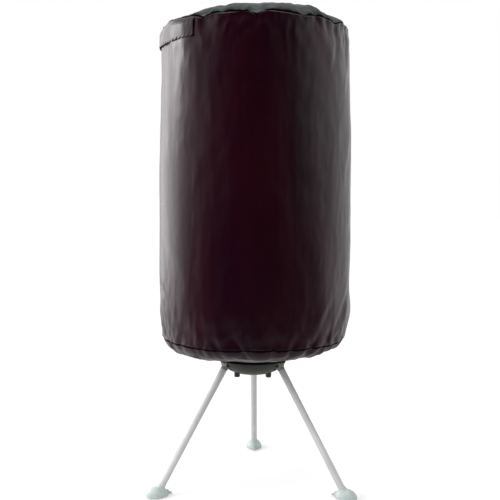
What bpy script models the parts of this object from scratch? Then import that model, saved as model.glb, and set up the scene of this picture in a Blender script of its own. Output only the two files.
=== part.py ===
"""Portable round clothes dryer: a fan heater on three folding legs, with a pole, six
hanger arms and a round fabric bag. Metres, +Z up, floor at z = 0. The origin is the
bottom centre of the whole dryer, so the pole stands a little in front of it."""

import math

import bmesh
import bpy
from mathutils import Matrix, Vector

# Clearances and thicknesses
GAP = 0.0003
OVERRUN = 0.004
WALL = 0.0028
CLOTH = 0.002
WELD = 0.00001

# Housing, a round bowl with a cover
HOUSING_RADIUS = 0.108
HOUSING_SPLIT_Z = 0.432
COVER_HEIGHT = 0.080
BOWL_SKIRT = 0.034
BOWL_DEPTH = 0.055
BOWL_FLOOR_DROP = 0.046
STUB_INSET = 0.051
STUB_RADIUS = 0.0095
STUB_TAPER = 0.0012
STUB_HEIGHT = 0.013
BOWL_SHOULDER_Z = HOUSING_SPLIT_Z - BOWL_SKIRT
BOWL_FLOOR_Z = BOWL_SHOULDER_Z - BOWL_FLOOR_DROP
STUB_CIRCLE_RADIUS = HOUSING_RADIUS - STUB_INSET
STUB_BOTTOM_Z = BOWL_FLOOR_Z - STUB_HEIGHT

# Legs
LEG_COUNT = 3
LEG_SPLAY = math.radians(32.0)
PIVOT_INSET = 0.012
PIVOT_DROP = 0.017
PIVOT_RADIUS = HOUSING_RADIUS - PIVOT_INSET
PIVOT_Z = BOWL_SHOULDER_Z - PIVOT_DROP
LEG_TUBE_RADIUS = 0.0105
LEG_TUBE_WALL = 0.0012
LEG_TUBE_START = 0.016
FOOT_LENGTH = 0.071
FOOT_NOSE = 0.031
FOOT_WIDTH = 0.055
FOOT_HEIGHT = 0.033
SOLE_THICKNESS = 0.0027

# Bag
BAG_RADIUS = 0.3005
BAG_BULGE = 0.014
BAG_TOP_Z = 1.478
TOP_DOME_HEIGHT = 0.060
BOTTOM_RISE = 0.037
HEM_HEIGHT = 0.008
HEM_THICKNESS = 0.005
HOOP_WIRE_RADIUS = 0.002
FLAP_DROP = 0.058
FLAP_SHOULDER = 0.018
FLAP_CLEARANCE = 0.0008
FLAP_START = math.radians(35.5)
FLAP_SPAN = math.radians(186.0)
ZIP_DROP = 0.027
ZIP_WIDTH = 0.016
ZIP_INSET = math.radians(2.0)
BAG_SEAM_RADIUS = BAG_RADIUS - BAG_BULGE
BAG_TOP_SEAM_Z = BAG_TOP_Z - TOP_DOME_HEIGHT
BAG_BOTTOM_SEAM_Z = HOUSING_SPLIT_Z + BOTTOM_RISE

# Pole and hanger
POLE_RADIUS = 0.011
POLE_WALL = 0.0012
UPPER_POLE_LENGTH = 0.436
HUB_DROP = 0.092
HUB_RADIUS = 0.048
HUB_WIRE_INSET = 0.008
HUB_WIRE_RADIUS = 0.0015
ARM_COUNT = 6
ARM_REACH = 0.262
ARM_THICKNESS = 0.008
ARM_DEPTH = 0.018
HUB_Z = BAG_TOP_Z - HUB_DROP
HUB_WIRE_CIRCLE = HUB_RADIUS - HUB_WIRE_INSET
POLE_JOIN_Z = HUB_Z - UPPER_POLE_LENGTH

# Fineness of round shapes
BAG_STEPS = 28
FLAP_STEPS = BAG_STEPS * 3
HOUSING_STEPS = 28
TUBE_STEPS = 16
SMALL_STEPS = 10
RECESS_STEPS = 14
BOWL_ARC_STEPS = 5
LUG_STEPS = 10
EYE_STEPS = 6
GRILLE_SLOT_STEPS = 3
WIRE_STEPS = 24
WIRE_SIDES = 5
FOOT_DOME_RINGS = 10

# The rear foot reaches further back than the bag reaches forward, so the pole stands
# this far in front of the middle of the dryer's outline.
FLOOR_RADIUS = PIVOT_RADIUS + PIVOT_Z * math.tan(LEG_SPLAY)
FOOT_REACH = FLOOR_RADIUS + FOOT_NOSE
AXIS_Y = -(FOOT_REACH - BAG_RADIUS) / 2

for leftover in list(bpy.data.objects):
    bpy.data.objects.remove(leftover)

dryer = bpy.data.collections.new("portable_clothes_dryer")
cutters = bpy.data.collections.new("cutters")
bpy.context.scene.collection.children.link(dryer)
bpy.context.scene.collection.children.link(cutters)


# Helpers

def material(name, colour, roughness, metallic=0.0):
    made = bpy.data.materials.new(name)
    made.use_nodes = True
    shader = made.node_tree.nodes["Principled BSDF"]
    shader.inputs["Base Color"].default_value = (*colour, 1.0)
    shader.inputs["Roughness"].default_value = roughness
    shader.inputs["Metallic"].default_value = metallic
    return made


def place(obj, parent, matrix=None):
    """Hang an object on an empty, at a matrix in that empty's own frame."""
    obj.parent = parent
    obj.matrix_local = matrix or Matrix.Identity(4)


def frame_at(name, parent, matrix):
    """An empty that carries a group of pieces or marks a joint's axis."""
    empty = bpy.data.objects.new(name, None)
    dryer.objects.link(empty)
    place(empty, parent, matrix)
    return empty


def add_mesh(name, mesh, surface=None, parent=None, matrix=None, smooth=35.0):
    obj = bpy.data.objects.new(name, mesh)
    if surface:
        dryer.objects.link(obj)
        mesh.materials.append(surface)
        mesh.shade_smooth()
        mesh.set_sharp_from_angle(angle=math.radians(smooth))
    else:
        cutters.objects.link(obj)
        obj.hide_render = True
        obj.display_type = "WIRE"
    place(obj, parent, matrix)
    return obj


def turned(name, profile, steps, surface=None, parent=None, matrix=None):
    """Revolve a profile of (radius, z) about Z. It runs down the outer side, and is
    closed into a ring unless it starts and ends on the axis."""
    mesh = bpy.data.meshes.new(name)
    points = [(radius, 0.0, z) for radius, z in profile]
    edges = [(i, i + 1) for i in range(len(points) - 1)]
    if profile[0][0] > 0.0:
        edges.append((len(points) - 1, 0))
    mesh.from_pydata(points, edges, [])
    obj = add_mesh(name, mesh, surface, parent, matrix)
    screw = obj.modifiers.new("Turn", "SCREW")
    screw.axis = "Z"
    screw.steps = steps
    screw.render_steps = steps
    screw.use_merge_vertices = True
    screw.merge_threshold = WELD
    screw.use_smooth_shade = True
    return obj


def rod(name, radius, low, high, steps, surface=None, parent=None, matrix=None):
    profile = [(0.0, high), (radius, high), (radius, low), (0.0, low)]
    return turned(name, profile, steps, surface, parent, matrix)


def pipe(name, outer, inner, low, high, steps, surface=None, parent=None, matrix=None):
    profile = [(outer, high), (outer, low), (inner, low), (inner, high)]
    return turned(name, profile, steps, surface, parent, matrix)


def ring(name, radius, wire, z, steps, sides, surface=None, parent=None):
    """A wire bent into a flat circle about Z."""
    turns = [2 * math.pi * i / sides for i in range(sides)]
    profile = [(radius + wire * math.cos(turn), z - wire * math.sin(turn)) for turn in turns]
    return turned(name, profile, steps, surface, parent)


def block(name, low, high, surface=None, parent=None, matrix=None):
    """A box between two corners."""
    mesh = bpy.data.meshes.new(name)
    shape = bmesh.new()
    bmesh.ops.create_cube(shape, size=1.0)
    for vert in shape.verts:
        for i in range(3):
            vert.co[i] = high[i] if vert.co[i] > 0.0 else low[i]
    shape.to_mesh(mesh)
    shape.free()
    return add_mesh(name, mesh, surface, parent, matrix)


def plate(name, outlines, thickness, surface=None, parent=None, matrix=None):
    """A flat outline, with any holes, extruded to a thickness about its own plane."""
    curve = bpy.data.curves.new(name, "CURVE")
    curve.dimensions = "2D"
    curve.fill_mode = "BOTH"
    curve.extrude = thickness / 2
    for outline in outlines:
        spline = curve.splines.new("POLY")
        spline.points.add(len(outline) - 1)
        for point, (x, y) in zip(spline.points, outline):
            point.co = (x, y, 0.0, 1.0)
        spline.use_cyclic_u = True
    flat = bpy.data.objects.new(name, curve)
    cutters.objects.link(flat)
    bpy.context.view_layer.update()
    evaluated = flat.evaluated_get(bpy.context.evaluated_depsgraph_get())
    mesh = bpy.data.meshes.new_from_object(evaluated)
    bpy.data.objects.remove(flat)
    welded = bmesh.new()
    welded.from_mesh(mesh)
    bmesh.ops.remove_doubles(welded, verts=welded.verts, dist=WELD)
    bmesh.ops.recalc_face_normals(welded, faces=welded.faces)
    welded.to_mesh(mesh)
    welded.free()
    mesh.name = name
    return add_mesh(name, mesh, surface, parent, matrix)


def arc(radius, start, end, steps):
    """Points from one angle to another on a circle about the origin."""
    angles = [start + (end - start) * i / steps for i in range(steps + 1)]
    return [(radius * math.cos(angle), radius * math.sin(angle)) for angle in angles]


def circle(radius, steps):
    return arc(radius, 0.0, 2 * math.pi * (1 - 1 / steps), steps - 1)


def combine(obj, tool, operation="DIFFERENCE"):
    change = obj.modifiers.new(operation.title(), "BOOLEAN")
    change.operation = operation
    change.object = tool
    change.solver = "EXACT"
    return obj


def along(z_axis, origin):
    """A frame whose Z points along a direction."""
    turn = Vector(z_axis).to_track_quat("Z", "Y").to_matrix().to_4x4()
    return Matrix.Translation(origin) @ turn


def offset_profile(points, depth, first, last):
    """The inner side of a sheet whose outer side runs through the points. The two ends
    move along the directions given, so that the sheet's edges lie as they should."""
    inner = []
    for i, (radius, z) in enumerate(points):
        if i == 0:
            step = first
        elif i == len(points) - 1:
            step = last
        else:
            run = Vector(points[i + 1]) - Vector(points[i - 1])
            step = Vector((run.y, -run.x)).normalized()
        inner.append((radius + step[0] * depth, z + step[1] * depth))
    return inner


# Finishes
bag_nylon = material("bag_nylon", (0.045, 0.012, 0.022), 0.38)
hem_tape = material("hem_tape", (0.12, 0.115, 0.11), 0.6)
zip_finish = material("zip_finish", (0.03, 0.03, 0.03), 0.5)
housing_plastic = material("housing_plastic", (0.045, 0.048, 0.04), 0.45)
bracket_plastic = material("bracket_plastic", (0.16, 0.17, 0.15), 0.45)
dark_plastic = material("dark_plastic", (0.02, 0.02, 0.02), 0.5)
foot_plastic = material("foot_plastic", (0.55, 0.62, 0.59), 0.35)
sole_rubber = material("sole_rubber", (0.03, 0.03, 0.03), 0.8)
leg_paint = material("leg_paint", (0.72, 0.72, 0.73), 0.35, 0.4)
bright_steel = material("bright_steel", (0.6, 0.6, 0.6), 0.3, 1.0)
heater_metal = material("heater_metal", (0.7, 0.7, 0.72), 0.4, 1.0)
arm_plastic = material("arm_plastic", (0.75, 0.76, 0.76), 0.4)

axis = frame_at("pole_axis", None, Matrix.Translation((0.0, AXIS_Y, 0.0)))


# Leg places, shared by the bowl's recesses and the legs
LEG_AZIMUTHS = [math.radians(90.0) + 2 * math.pi * i / LEG_COUNT for i in range(LEG_COUNT)]
LEG_NAMES = ("rear", "left", "right")
LUG_RADIUS = 0.010
LUG_THICKNESS = 0.0047
KNUCKLE_WIDTH = 0.0190
BRACKET_HALF = KNUCKLE_WIDTH / 2 + GAP + LUG_THICKNESS
RECESS_RADIUS = 0.0155
RECESS_HALF = 0.026
LEG_SIDE_CLEARANCE = 0.0012
LEG_STOP_CLEARANCE = 0.0015
LEG_SLOT_HALF = LEG_TUBE_RADIUS + LEG_SIDE_CLEARANCE
LEG_SLOT_INNER = PIVOT_RADIUS - LEG_TUBE_RADIUS - LEG_STOP_CLEARANCE


def leg_frame(azimuth):
    """The pivot's frame: X outward, Y along the pivot pin, Z up."""
    spot = (PIVOT_RADIUS * math.cos(azimuth), PIVOT_RADIUS * math.sin(azimuth), PIVOT_Z)
    return Matrix.Translation(spot) @ Matrix.Rotation(azimuth, 4, "Z")


PIN_TURN = Matrix.Rotation(math.radians(-90.0), 4, "X")


# Lower housing: a round bowl with recesses for the legs, a floor opening for the
# intake grille, a pad for the timer, a boss for the cord gland and three stub feet.
GRILLE_SHARE = 0.375
GRILLE_OPENING_RADIUS = HOUSING_RADIUS * GRILLE_SHARE
LEDGE_DROP = 0.0098
LEDGE_Z = HOUSING_SPLIT_Z - LEDGE_DROP
LEDGE_HEIGHT = 0.003
LEDGE_DEPTH = 0.003


def bowl_arc(radius, depth, floor):
    """The rounded side of the bowl, from its shoulder down to the flat floor."""
    end = math.asin((BOWL_SHOULDER_Z - floor) / depth)
    points = []
    for i in range(BOWL_ARC_STEPS + 1):
        angle = end * i / BOWL_ARC_STEPS
        points.append((radius * math.cos(angle), BOWL_SHOULDER_Z - depth * math.sin(angle)))
    return points


inside_radius = HOUSING_RADIUS - WALL
outer_side = bowl_arc(HOUSING_RADIUS, BOWL_DEPTH, BOWL_FLOOR_Z)
inner_side = bowl_arc(inside_radius, BOWL_DEPTH - WALL, BOWL_FLOOR_Z + WALL)
bowl_outside = [(0.0, HOUSING_SPLIT_Z), (HOUSING_RADIUS, HOUSING_SPLIT_Z), *outer_side, (0.0, BOWL_FLOOR_Z)]
bowl_inside = [
    (0.0, HOUSING_SPLIT_Z + OVERRUN),
    (inside_radius, HOUSING_SPLIT_Z + OVERRUN),
    (inside_radius, LEDGE_Z),
    (inside_radius - LEDGE_DEPTH, LEDGE_Z),
    (inside_radius - LEDGE_DEPTH, LEDGE_Z - LEDGE_HEIGHT),
    (inside_radius, LEDGE_Z - LEDGE_HEIGHT - LEDGE_DEPTH),
    *inner_side,
    (GRILLE_OPENING_RADIUS, BOWL_FLOOR_Z + WALL),
    (GRILLE_OPENING_RADIUS, BOWL_FLOOR_Z - OVERRUN),
    (0.0, BOWL_FLOOR_Z - OVERRUN),
]
lower_housing = turned("lower_housing", bowl_outside, HOUSING_STEPS, housing_plastic, axis)
bowl_hollow = turned("bowl_hollow", bowl_inside, HOUSING_STEPS, None, axis)

# The timer's pad and the gland's boss sit on the bowl's rounded side, square to it.
SIDE_ANGLE = math.radians(22.0)
TIMER_AZIMUTH = math.radians(55.0)
GLAND_AZIMUTH = math.radians(125.0)
TIMER_PAD_RADIUS = 0.0165
TIMER_PAD_DEPTH = 0.006
TIMER_PAD_PROUD = 0.0015
TIMER_SHAFT_RADIUS = 0.003
GLAND_BOSS_RADIUS = 0.012
GLAND_RADIUS = 0.0075
GLAND_BORE_RADIUS = 0.0038


def side_frame(azimuth):
    """A frame on the bowl's rounded side, with Z pointing straight out of it."""
    radius = HOUSING_RADIUS * math.cos(SIDE_ANGLE)
    z = BOWL_SHOULDER_Z - BOWL_DEPTH * math.sin(SIDE_ANGLE)
    outward = math.cos(SIDE_ANGLE) / HOUSING_RADIUS
    downward = -math.sin(SIDE_ANGLE) / BOWL_DEPTH
    direction = (outward * math.cos(azimuth), outward * math.sin(azimuth), downward)
    return along(direction, (radius * math.cos(azimuth), radius * math.sin(azimuth), z))


timer_axis = frame_at("timer_axis", axis, side_frame(TIMER_AZIMUTH))
gland_axis = frame_at("gland_axis", axis, side_frame(GLAND_AZIMUTH))

for index, azimuth in enumerate(LEG_AZIMUTHS):
    stub_profile = [
        (0.0, BOWL_FLOOR_Z + WALL * 2),
        (STUB_RADIUS, BOWL_FLOOR_Z + WALL * 2),
        (STUB_RADIUS - STUB_TAPER / 2, STUB_BOTTOM_Z + STUB_TAPER),
        (STUB_RADIUS - STUB_TAPER * 2, STUB_BOTTOM_Z),
        (0.0, STUB_BOTTOM_Z),
    ]
    spot = (STUB_CIRCLE_RADIUS * math.cos(azimuth), STUB_CIRCLE_RADIUS * math.sin(azimuth), 0.0)
    stub = turned(f"stub_{index}", stub_profile, SMALL_STEPS, None, axis, Matrix.Translation(spot))
    combine(lower_housing, stub, "UNION")

    recess_wall = rod(
        f"recess_wall_{index}", RECESS_RADIUS + WALL, -RECESS_HALF - WALL, RECESS_HALF + WALL,
        RECESS_STEPS, None, axis, leg_frame(azimuth) @ PIN_TURN,
    )
    combine(bowl_hollow, recess_wall)

timer_pad = rod(
    "timer_pad", TIMER_PAD_RADIUS, -TIMER_PAD_DEPTH, TIMER_PAD_PROUD, TUBE_STEPS, None, timer_axis,
)
timer_backing = rod(
    "timer_backing", TIMER_PAD_RADIUS + WALL / 2, -TIMER_PAD_DEPTH, TIMER_PAD_PROUD,
    TUBE_STEPS, None, timer_axis,
)
gland_boss = rod(
    "gland_boss", GLAND_BOSS_RADIUS, -TIMER_PAD_DEPTH, TIMER_PAD_PROUD, TUBE_STEPS, None, gland_axis,
)
gland_backing = rod(
    "gland_backing", GLAND_BOSS_RADIUS + WALL / 2, -TIMER_PAD_DEPTH, TIMER_PAD_PROUD,
    TUBE_STEPS, None, gland_axis,
)
combine(lower_housing, timer_pad, "UNION")
combine(lower_housing, gland_boss, "UNION")
combine(bowl_hollow, timer_backing)
combine(bowl_hollow, gland_backing)
combine(lower_housing, bowl_hollow)

for index, azimuth in enumerate(LEG_AZIMUTHS):
    recess = rod(
        f"recess_{index}", RECESS_RADIUS, -RECESS_HALF, RECESS_HALF,
        RECESS_STEPS, None, axis, leg_frame(azimuth) @ PIN_TURN,
    )
    combine(lower_housing, recess)
    slot = block(
        f"leg_slot_{index}",
        (LEG_SLOT_INNER - PIVOT_RADIUS, -LEG_SLOT_HALF, STUB_BOTTOM_Z - PIVOT_Z),
        (HOUSING_RADIUS, LEG_SLOT_HALF, LUG_RADIUS),
        None, axis, leg_frame(azimuth),
    )
    combine(lower_housing, slot)

timer_hole = rod(
    "timer_hole", TIMER_SHAFT_RADIUS + GAP, -TIMER_PAD_DEPTH - OVERRUN, TIMER_PAD_PROUD + OVERRUN,
    SMALL_STEPS, None, timer_axis,
)
gland_hole = rod(
    "gland_hole", GLAND_RADIUS + GAP, -TIMER_PAD_DEPTH - OVERRUN, TIMER_PAD_PROUD + OVERRUN,
    SMALL_STEPS, None, gland_axis,
)
combine(lower_housing, timer_hole)
combine(lower_housing, gland_hole)


# Intake grille: a round plate with three rings of slots, dropped in on the bowl's floor
GRILLE_LIP = 0.0035
GRILLE_RADIUS = GRILLE_OPENING_RADIUS + GRILLE_LIP
GRILLE_THICKNESS = 0.002
GRILLE_HUB_RADIUS = 0.008
GRILLE_RING_COUNT = 3
GRILLE_SPOKES = 6
GRILLE_BAR = 0.0022
grille_outlines = [circle(GRILLE_RADIUS, HOUSING_STEPS)]
ring_pitch = (GRILLE_OPENING_RADIUS - GRILLE_HUB_RADIUS) / GRILLE_RING_COUNT
for ring_index in range(GRILLE_RING_COUNT):
    inner = GRILLE_HUB_RADIUS + ring_pitch * ring_index + GRILLE_BAR / 2
    outer = GRILLE_HUB_RADIUS + ring_pitch * (ring_index + 1) - GRILLE_BAR / 2
    for spoke in range(GRILLE_SPOKES):
        start = 2 * math.pi * spoke / GRILLE_SPOKES
        end = 2 * math.pi * (spoke + 1) / GRILLE_SPOKES
        outer_edge = arc(outer, start + GRILLE_BAR / outer, end - GRILLE_BAR / outer, GRILLE_SLOT_STEPS)
        inner_edge = arc(inner, end - GRILLE_BAR / inner, start + GRILLE_BAR / inner, GRILLE_SLOT_STEPS)
        grille_outlines.append(outer_edge + inner_edge)
grille_z = BOWL_FLOOR_Z + WALL + GAP + GRILLE_THICKNESS / 2
plate(
    "intake_grille", grille_outlines, GRILLE_THICKNESS, dark_plastic, axis,
    Matrix.Translation((0.0, 0.0, grille_z)),
)


# Cord gland: a moulded collar in the bowl's boss, where the supply lead would enter
GLAND_FLANGE_WIDTH = 0.003
GLAND_FLANGE_RADIUS = GLAND_RADIUS + GLAND_FLANGE_WIDTH
GLAND_FLANGE_HEIGHT = 0.003
gland_face = TIMER_PAD_PROUD + GAP
gland_profile = [
    (GLAND_RADIUS, gland_face + GLAND_FLANGE_HEIGHT * 2),
    (GLAND_FLANGE_RADIUS, gland_face + GLAND_FLANGE_HEIGHT),
    (GLAND_FLANGE_RADIUS, gland_face),
    (GLAND_RADIUS, gland_face),
    (GLAND_RADIUS, -TIMER_PAD_DEPTH),
    (GLAND_BORE_RADIUS, -TIMER_PAD_DEPTH),
    (GLAND_BORE_RADIUS, gland_face + GLAND_FLANGE_HEIGHT * 2),
]
turned("cord_gland", gland_profile, SMALL_STEPS, dark_plastic, gland_axis)


# Timer: a round clockwork case behind the pad, with its shaft and fluted knob
TIMER_BODY_RADIUS = 0.0125
TIMER_BODY_LENGTH = 0.020
KNOB_RADIUS = 0.014
KNOB_LENGTH = 0.013
KNOB_FLUTES = 9
KNOB_FLUTE_DEPTH = 0.0008
KNOB_SKIRT_RADIUS = 0.0155
KNOB_SKIRT_HEIGHT = 0.0025
timer_back = -TIMER_PAD_DEPTH - GAP
shaft_seat = timer_back - TIMER_BODY_LENGTH / 2
timer_profile = [
    (0.0, shaft_seat - GAP),
    (TIMER_SHAFT_RADIUS + GAP, shaft_seat - GAP),
    (TIMER_SHAFT_RADIUS + GAP, timer_back),
    (TIMER_BODY_RADIUS, timer_back),
    (TIMER_BODY_RADIUS, timer_back - TIMER_BODY_LENGTH),
    (0.0, timer_back - TIMER_BODY_LENGTH),
]
turned("timer_body", timer_profile, TUBE_STEPS, dark_plastic, timer_axis)

knob_base = TIMER_PAD_PROUD + GAP
knob_outline = []
for i in range(KNOB_FLUTES * 4):
    turn = 2 * math.pi * i / (KNOB_FLUTES * 4)
    radius = KNOB_RADIUS - KNOB_FLUTE_DEPTH * (1 - math.cos(KNOB_FLUTES * turn)) / 2
    knob_outline.append((radius * math.cos(turn), radius * math.sin(turn)))
timer_knob = plate(
    "timer_knob", [knob_outline], KNOB_LENGTH, dark_plastic, timer_axis,
    Matrix.Translation((0.0, 0.0, knob_base + KNOB_SKIRT_HEIGHT / 2 + KNOB_LENGTH / 2)),
)
knob_skirt = rod(
    "knob_skirt", KNOB_SKIRT_RADIUS, knob_base, knob_base + KNOB_SKIRT_HEIGHT,
    KNOB_FLUTES * 2, None, timer_axis,
)
knob_bore = rod(
    "knob_bore", TIMER_SHAFT_RADIUS + GAP, knob_base - OVERRUN, knob_base + KNOB_LENGTH * 0.7,
    SMALL_STEPS, None, timer_axis,
)
combine(timer_knob, knob_skirt, "UNION")
combine(timer_knob, knob_bore)
rod(
    "timer_shaft", TIMER_SHAFT_RADIUS, shaft_seat, knob_base + KNOB_LENGTH * 0.7 - GAP,
    SMALL_STEPS, bright_steel, timer_axis,
)


# Fan: a motor on a three-armed spider, its shaft and a seven-bladed impeller below it
MOTOR_RADIUS = 0.022
MOTOR_RISE = 0.037
MOTOR_HEIGHT = 0.030
MOTOR_BOTTOM_Z = BOWL_FLOOR_Z + MOTOR_RISE
MOTOR_TOP_Z = MOTOR_BOTTOM_Z + MOTOR_HEIGHT
SHAFT_RADIUS = 0.0025
SPIDER_Z = PIVOT_Z + RECESS_RADIUS + WALL + GAP
SPIDER_THICKNESS = 0.003
SPIDER_RING_WIDTH = 0.004
SPIDER_ARM_HALF = 0.006
SPIDER_INSET = 0.010
SPIDER_REACH = HOUSING_RADIUS - SPIDER_INSET
SPIDER_ARC_STEPS = 6
FAN_SHARE = 0.51
FAN_HUB_SHARE = 0.27
FAN_RADIUS = HOUSING_RADIUS * FAN_SHARE
FAN_HUB_RADIUS = FAN_RADIUS * FAN_HUB_SHARE
FAN_BLADES = 7
FAN_HUB_STEPS = FAN_BLADES * 3
FAN_RISE = 0.0215
FAN_Z = BOWL_FLOOR_Z + FAN_RISE
FAN_HUB_HEIGHT = 0.014
BLADE_THICKNESS = 0.0016
BLADE_CHORD = 0.026
BLADE_PITCH = math.radians(24.0)

motor_profile = [
    (0.0, MOTOR_TOP_Z),
    (MOTOR_RADIUS * 0.9, MOTOR_TOP_Z),
    (MOTOR_RADIUS, MOTOR_TOP_Z - WALL),
    (MOTOR_RADIUS, MOTOR_BOTTOM_Z + WALL),
    (MOTOR_RADIUS * 0.4, MOTOR_BOTTOM_Z + WALL),
    (MOTOR_RADIUS * 0.4, MOTOR_BOTTOM_Z),
    (SHAFT_RADIUS + GAP, MOTOR_BOTTOM_Z),
    (SHAFT_RADIUS + GAP, MOTOR_TOP_Z - WALL),
    (0.0, MOTOR_TOP_Z - WALL),
]
turned("fan_motor", motor_profile, TUBE_STEPS, bright_steel, axis)

spider_outline = []
ring_radius = MOTOR_RADIUS + GAP + SPIDER_RING_WIDTH
arm_angle = math.asin(SPIDER_ARM_HALF / ring_radius)
for azimuth in LEG_AZIMUTHS:
    out = Vector((math.cos(azimuth), math.sin(azimuth)))
    side = Vector((-out.y, out.x))
    spider_outline.append(tuple(out * SPIDER_REACH - side * SPIDER_ARM_HALF))
    spider_outline.append(tuple(out * SPIDER_REACH + side * SPIDER_ARM_HALF))
    gap_angle = 2 * math.pi / LEG_COUNT - 2 * arm_angle
    spider_outline += arc(ring_radius, azimuth + arm_angle, azimuth + arm_angle + gap_angle, SPIDER_ARC_STEPS)
motor_hole = circle(MOTOR_RADIUS + GAP, TUBE_STEPS)
plate(
    "motor_spider", [spider_outline, motor_hole], SPIDER_THICKNESS, dark_plastic, axis,
    Matrix.Translation((0.0, 0.0, SPIDER_Z + SPIDER_THICKNESS / 2)),
)

fan_top = FAN_Z + FAN_HUB_HEIGHT / 2
fan_bottom = FAN_Z - FAN_HUB_HEIGHT / 2
rod("fan_shaft", SHAFT_RADIUS, fan_bottom, MOTOR_TOP_Z - WALL - GAP, SMALL_STEPS, bright_steel, axis)
hub_profile = [
    (FAN_HUB_RADIUS * 0.9, fan_top),
    (FAN_HUB_RADIUS, fan_top - WALL / 2),
    (FAN_HUB_RADIUS, fan_bottom + WALL),
    (FAN_HUB_RADIUS * 0.8, fan_bottom),
    (SHAFT_RADIUS + GAP, fan_bottom),
    (SHAFT_RADIUS + GAP, fan_top),
]
fan_impeller = turned("fan_impeller", hub_profile, FAN_HUB_STEPS, dark_plastic, axis)
# Each blade's outline, as shares of the fan's radius and of the blade's chord.
BLADE_SHARES = (
    (0.245, -0.22), (0.60, -0.42), (0.95, -0.50), (1.00, -0.30),
    (0.98, 0.30), (0.90, 0.50), (0.60, 0.38), (0.245, 0.22),
)
blade_outline = [(FAN_RADIUS * out, BLADE_CHORD * across) for out, across in BLADE_SHARES]
for index in range(FAN_BLADES):
    turn = Matrix.Rotation(2 * math.pi * index / FAN_BLADES, 4, "Z")
    tilt = Matrix.Rotation(BLADE_PITCH, 4, "X")
    blade = plate(
        f"blade_{index}", [blade_outline], BLADE_THICKNESS, None, axis,
        Matrix.Translation((0.0, 0.0, FAN_Z)) @ turn @ tilt,
    )
    combine(fan_impeller, blade, "UNION")


# Heater: a finned block in a round frame that rests on the bowl's ledge
FRAME_THICKNESS = 0.0032
HEATER_HALF_X = 0.045
HEATER_HALF_Y = 0.026
HEATER_HEIGHT = 0.018
HEATER_CELLS = 9
HEATER_FIN = 0.0024
frame_z = LEDGE_Z + GAP
frame_outline = circle(inside_radius - GAP * 2, HOUSING_STEPS)
window = [
    (-HEATER_HALF_X - GAP, -HEATER_HALF_Y - GAP), (HEATER_HALF_X + GAP, -HEATER_HALF_Y - GAP),
    (HEATER_HALF_X + GAP, HEATER_HALF_Y + GAP), (-HEATER_HALF_X - GAP, HEATER_HALF_Y + GAP),
]
plate(
    "heater_frame", [frame_outline, window], FRAME_THICKNESS, heater_metal, axis,
    Matrix.Translation((0.0, 0.0, frame_z + FRAME_THICKNESS / 2)),
)
heater_outlines = [[
    (-HEATER_HALF_X, -HEATER_HALF_Y), (HEATER_HALF_X, -HEATER_HALF_Y),
    (HEATER_HALF_X, HEATER_HALF_Y), (-HEATER_HALF_X, HEATER_HALF_Y),
]]
cell_pitch = (2 * HEATER_HALF_X - HEATER_FIN) / HEATER_CELLS
for cell in range(HEATER_CELLS):
    left = -HEATER_HALF_X + HEATER_FIN + cell_pitch * cell
    right = left + cell_pitch - HEATER_FIN
    near = HEATER_FIN / 2
    far = HEATER_HALF_Y - HEATER_FIN
    for low, high in ((-far, -near), (near, far)):
        heater_outlines.append([(left, low), (right, low), (right, high), (left, high)])
plate(
    "heater_block", heater_outlines, HEATER_HEIGHT, heater_metal, axis,
    Matrix.Translation((0.0, 0.0, frame_z + HEATER_HEIGHT / 2)),
)
CUTOUT_RADIUS = 0.007
CUTOUT_HEIGHT = 0.006
cutout_z = frame_z + FRAME_THICKNESS + GAP
rod(
    "thermal_cutout", CUTOUT_RADIUS, cutout_z, cutout_z + CUTOUT_HEIGHT,
    SMALL_STEPS, dark_plastic, axis, Matrix.Translation((0.0, HEATER_HALF_Y * 2, 0.0)),
)


# Upper housing: the cover, with outlet slots round its dome and a socket for the pole
TONGUE_DEPTH = 0.005
TONGUE_WALL = 0.0018
SOCKET_WALL = 0.005
SOCKET_HEIGHT = 0.034
OUTLET_COUNT = 12
OUTLET_WIDTH = 0.007
OUTLET_SHARES = (0.37, 0.815)
OUTLET_INNER, OUTLET_OUTER = (HOUSING_RADIUS * share for share in OUTLET_SHARES)
cover_low = HOUSING_SPLIT_Z + GAP
cover_top = HOUSING_SPLIT_Z + COVER_HEIGHT
socket_radius = POLE_RADIUS + GAP
socket_top = cover_top + SOCKET_HEIGHT
socket_floor = cover_top - WALL
tongue_radius = inside_radius - GAP
dome_shares = ((1.0, 0.55), (0.975, 0.75), (0.90, 0.90), (0.78, 0.975))
cover_outer = [(HOUSING_RADIUS * r, HOUSING_SPLIT_Z + COVER_HEIGHT * z) for r, z in dome_shares]
cover_inner = offset_profile(
    [(HOUSING_RADIUS, cover_low), *cover_outer, (0.0, cover_top)], -WALL, (1.0, 0.0), (0.0, 1.0),
)
cover_profile = [
    (0.0, socket_floor),
    (socket_radius, socket_floor),
    (socket_radius, socket_top),
    (socket_radius + SOCKET_WALL * 0.7, socket_top),
    (socket_radius + SOCKET_WALL, socket_top - SOCKET_WALL * 0.3),
    (socket_radius + SOCKET_WALL, cover_top + WALL),
    (socket_radius + SOCKET_WALL * 2, cover_top),
    *reversed(cover_outer),
    (HOUSING_RADIUS, cover_low),
    (tongue_radius, cover_low),
    (tongue_radius, HOUSING_SPLIT_Z - TONGUE_DEPTH),
    (tongue_radius - TONGUE_WALL, HOUSING_SPLIT_Z - TONGUE_DEPTH),
    (tongue_radius - TONGUE_WALL, cover_low + WALL),
    *cover_inner[1:-1],
    (socket_radius + SOCKET_WALL, cover_top - WALL * 2),
    (0.0, socket_floor - WALL),
]
upper_housing = turned("upper_housing", cover_profile, HOUSING_STEPS, housing_plastic, axis)
outlet_bottom = HOUSING_SPLIT_Z + COVER_HEIGHT * 0.7
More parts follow.
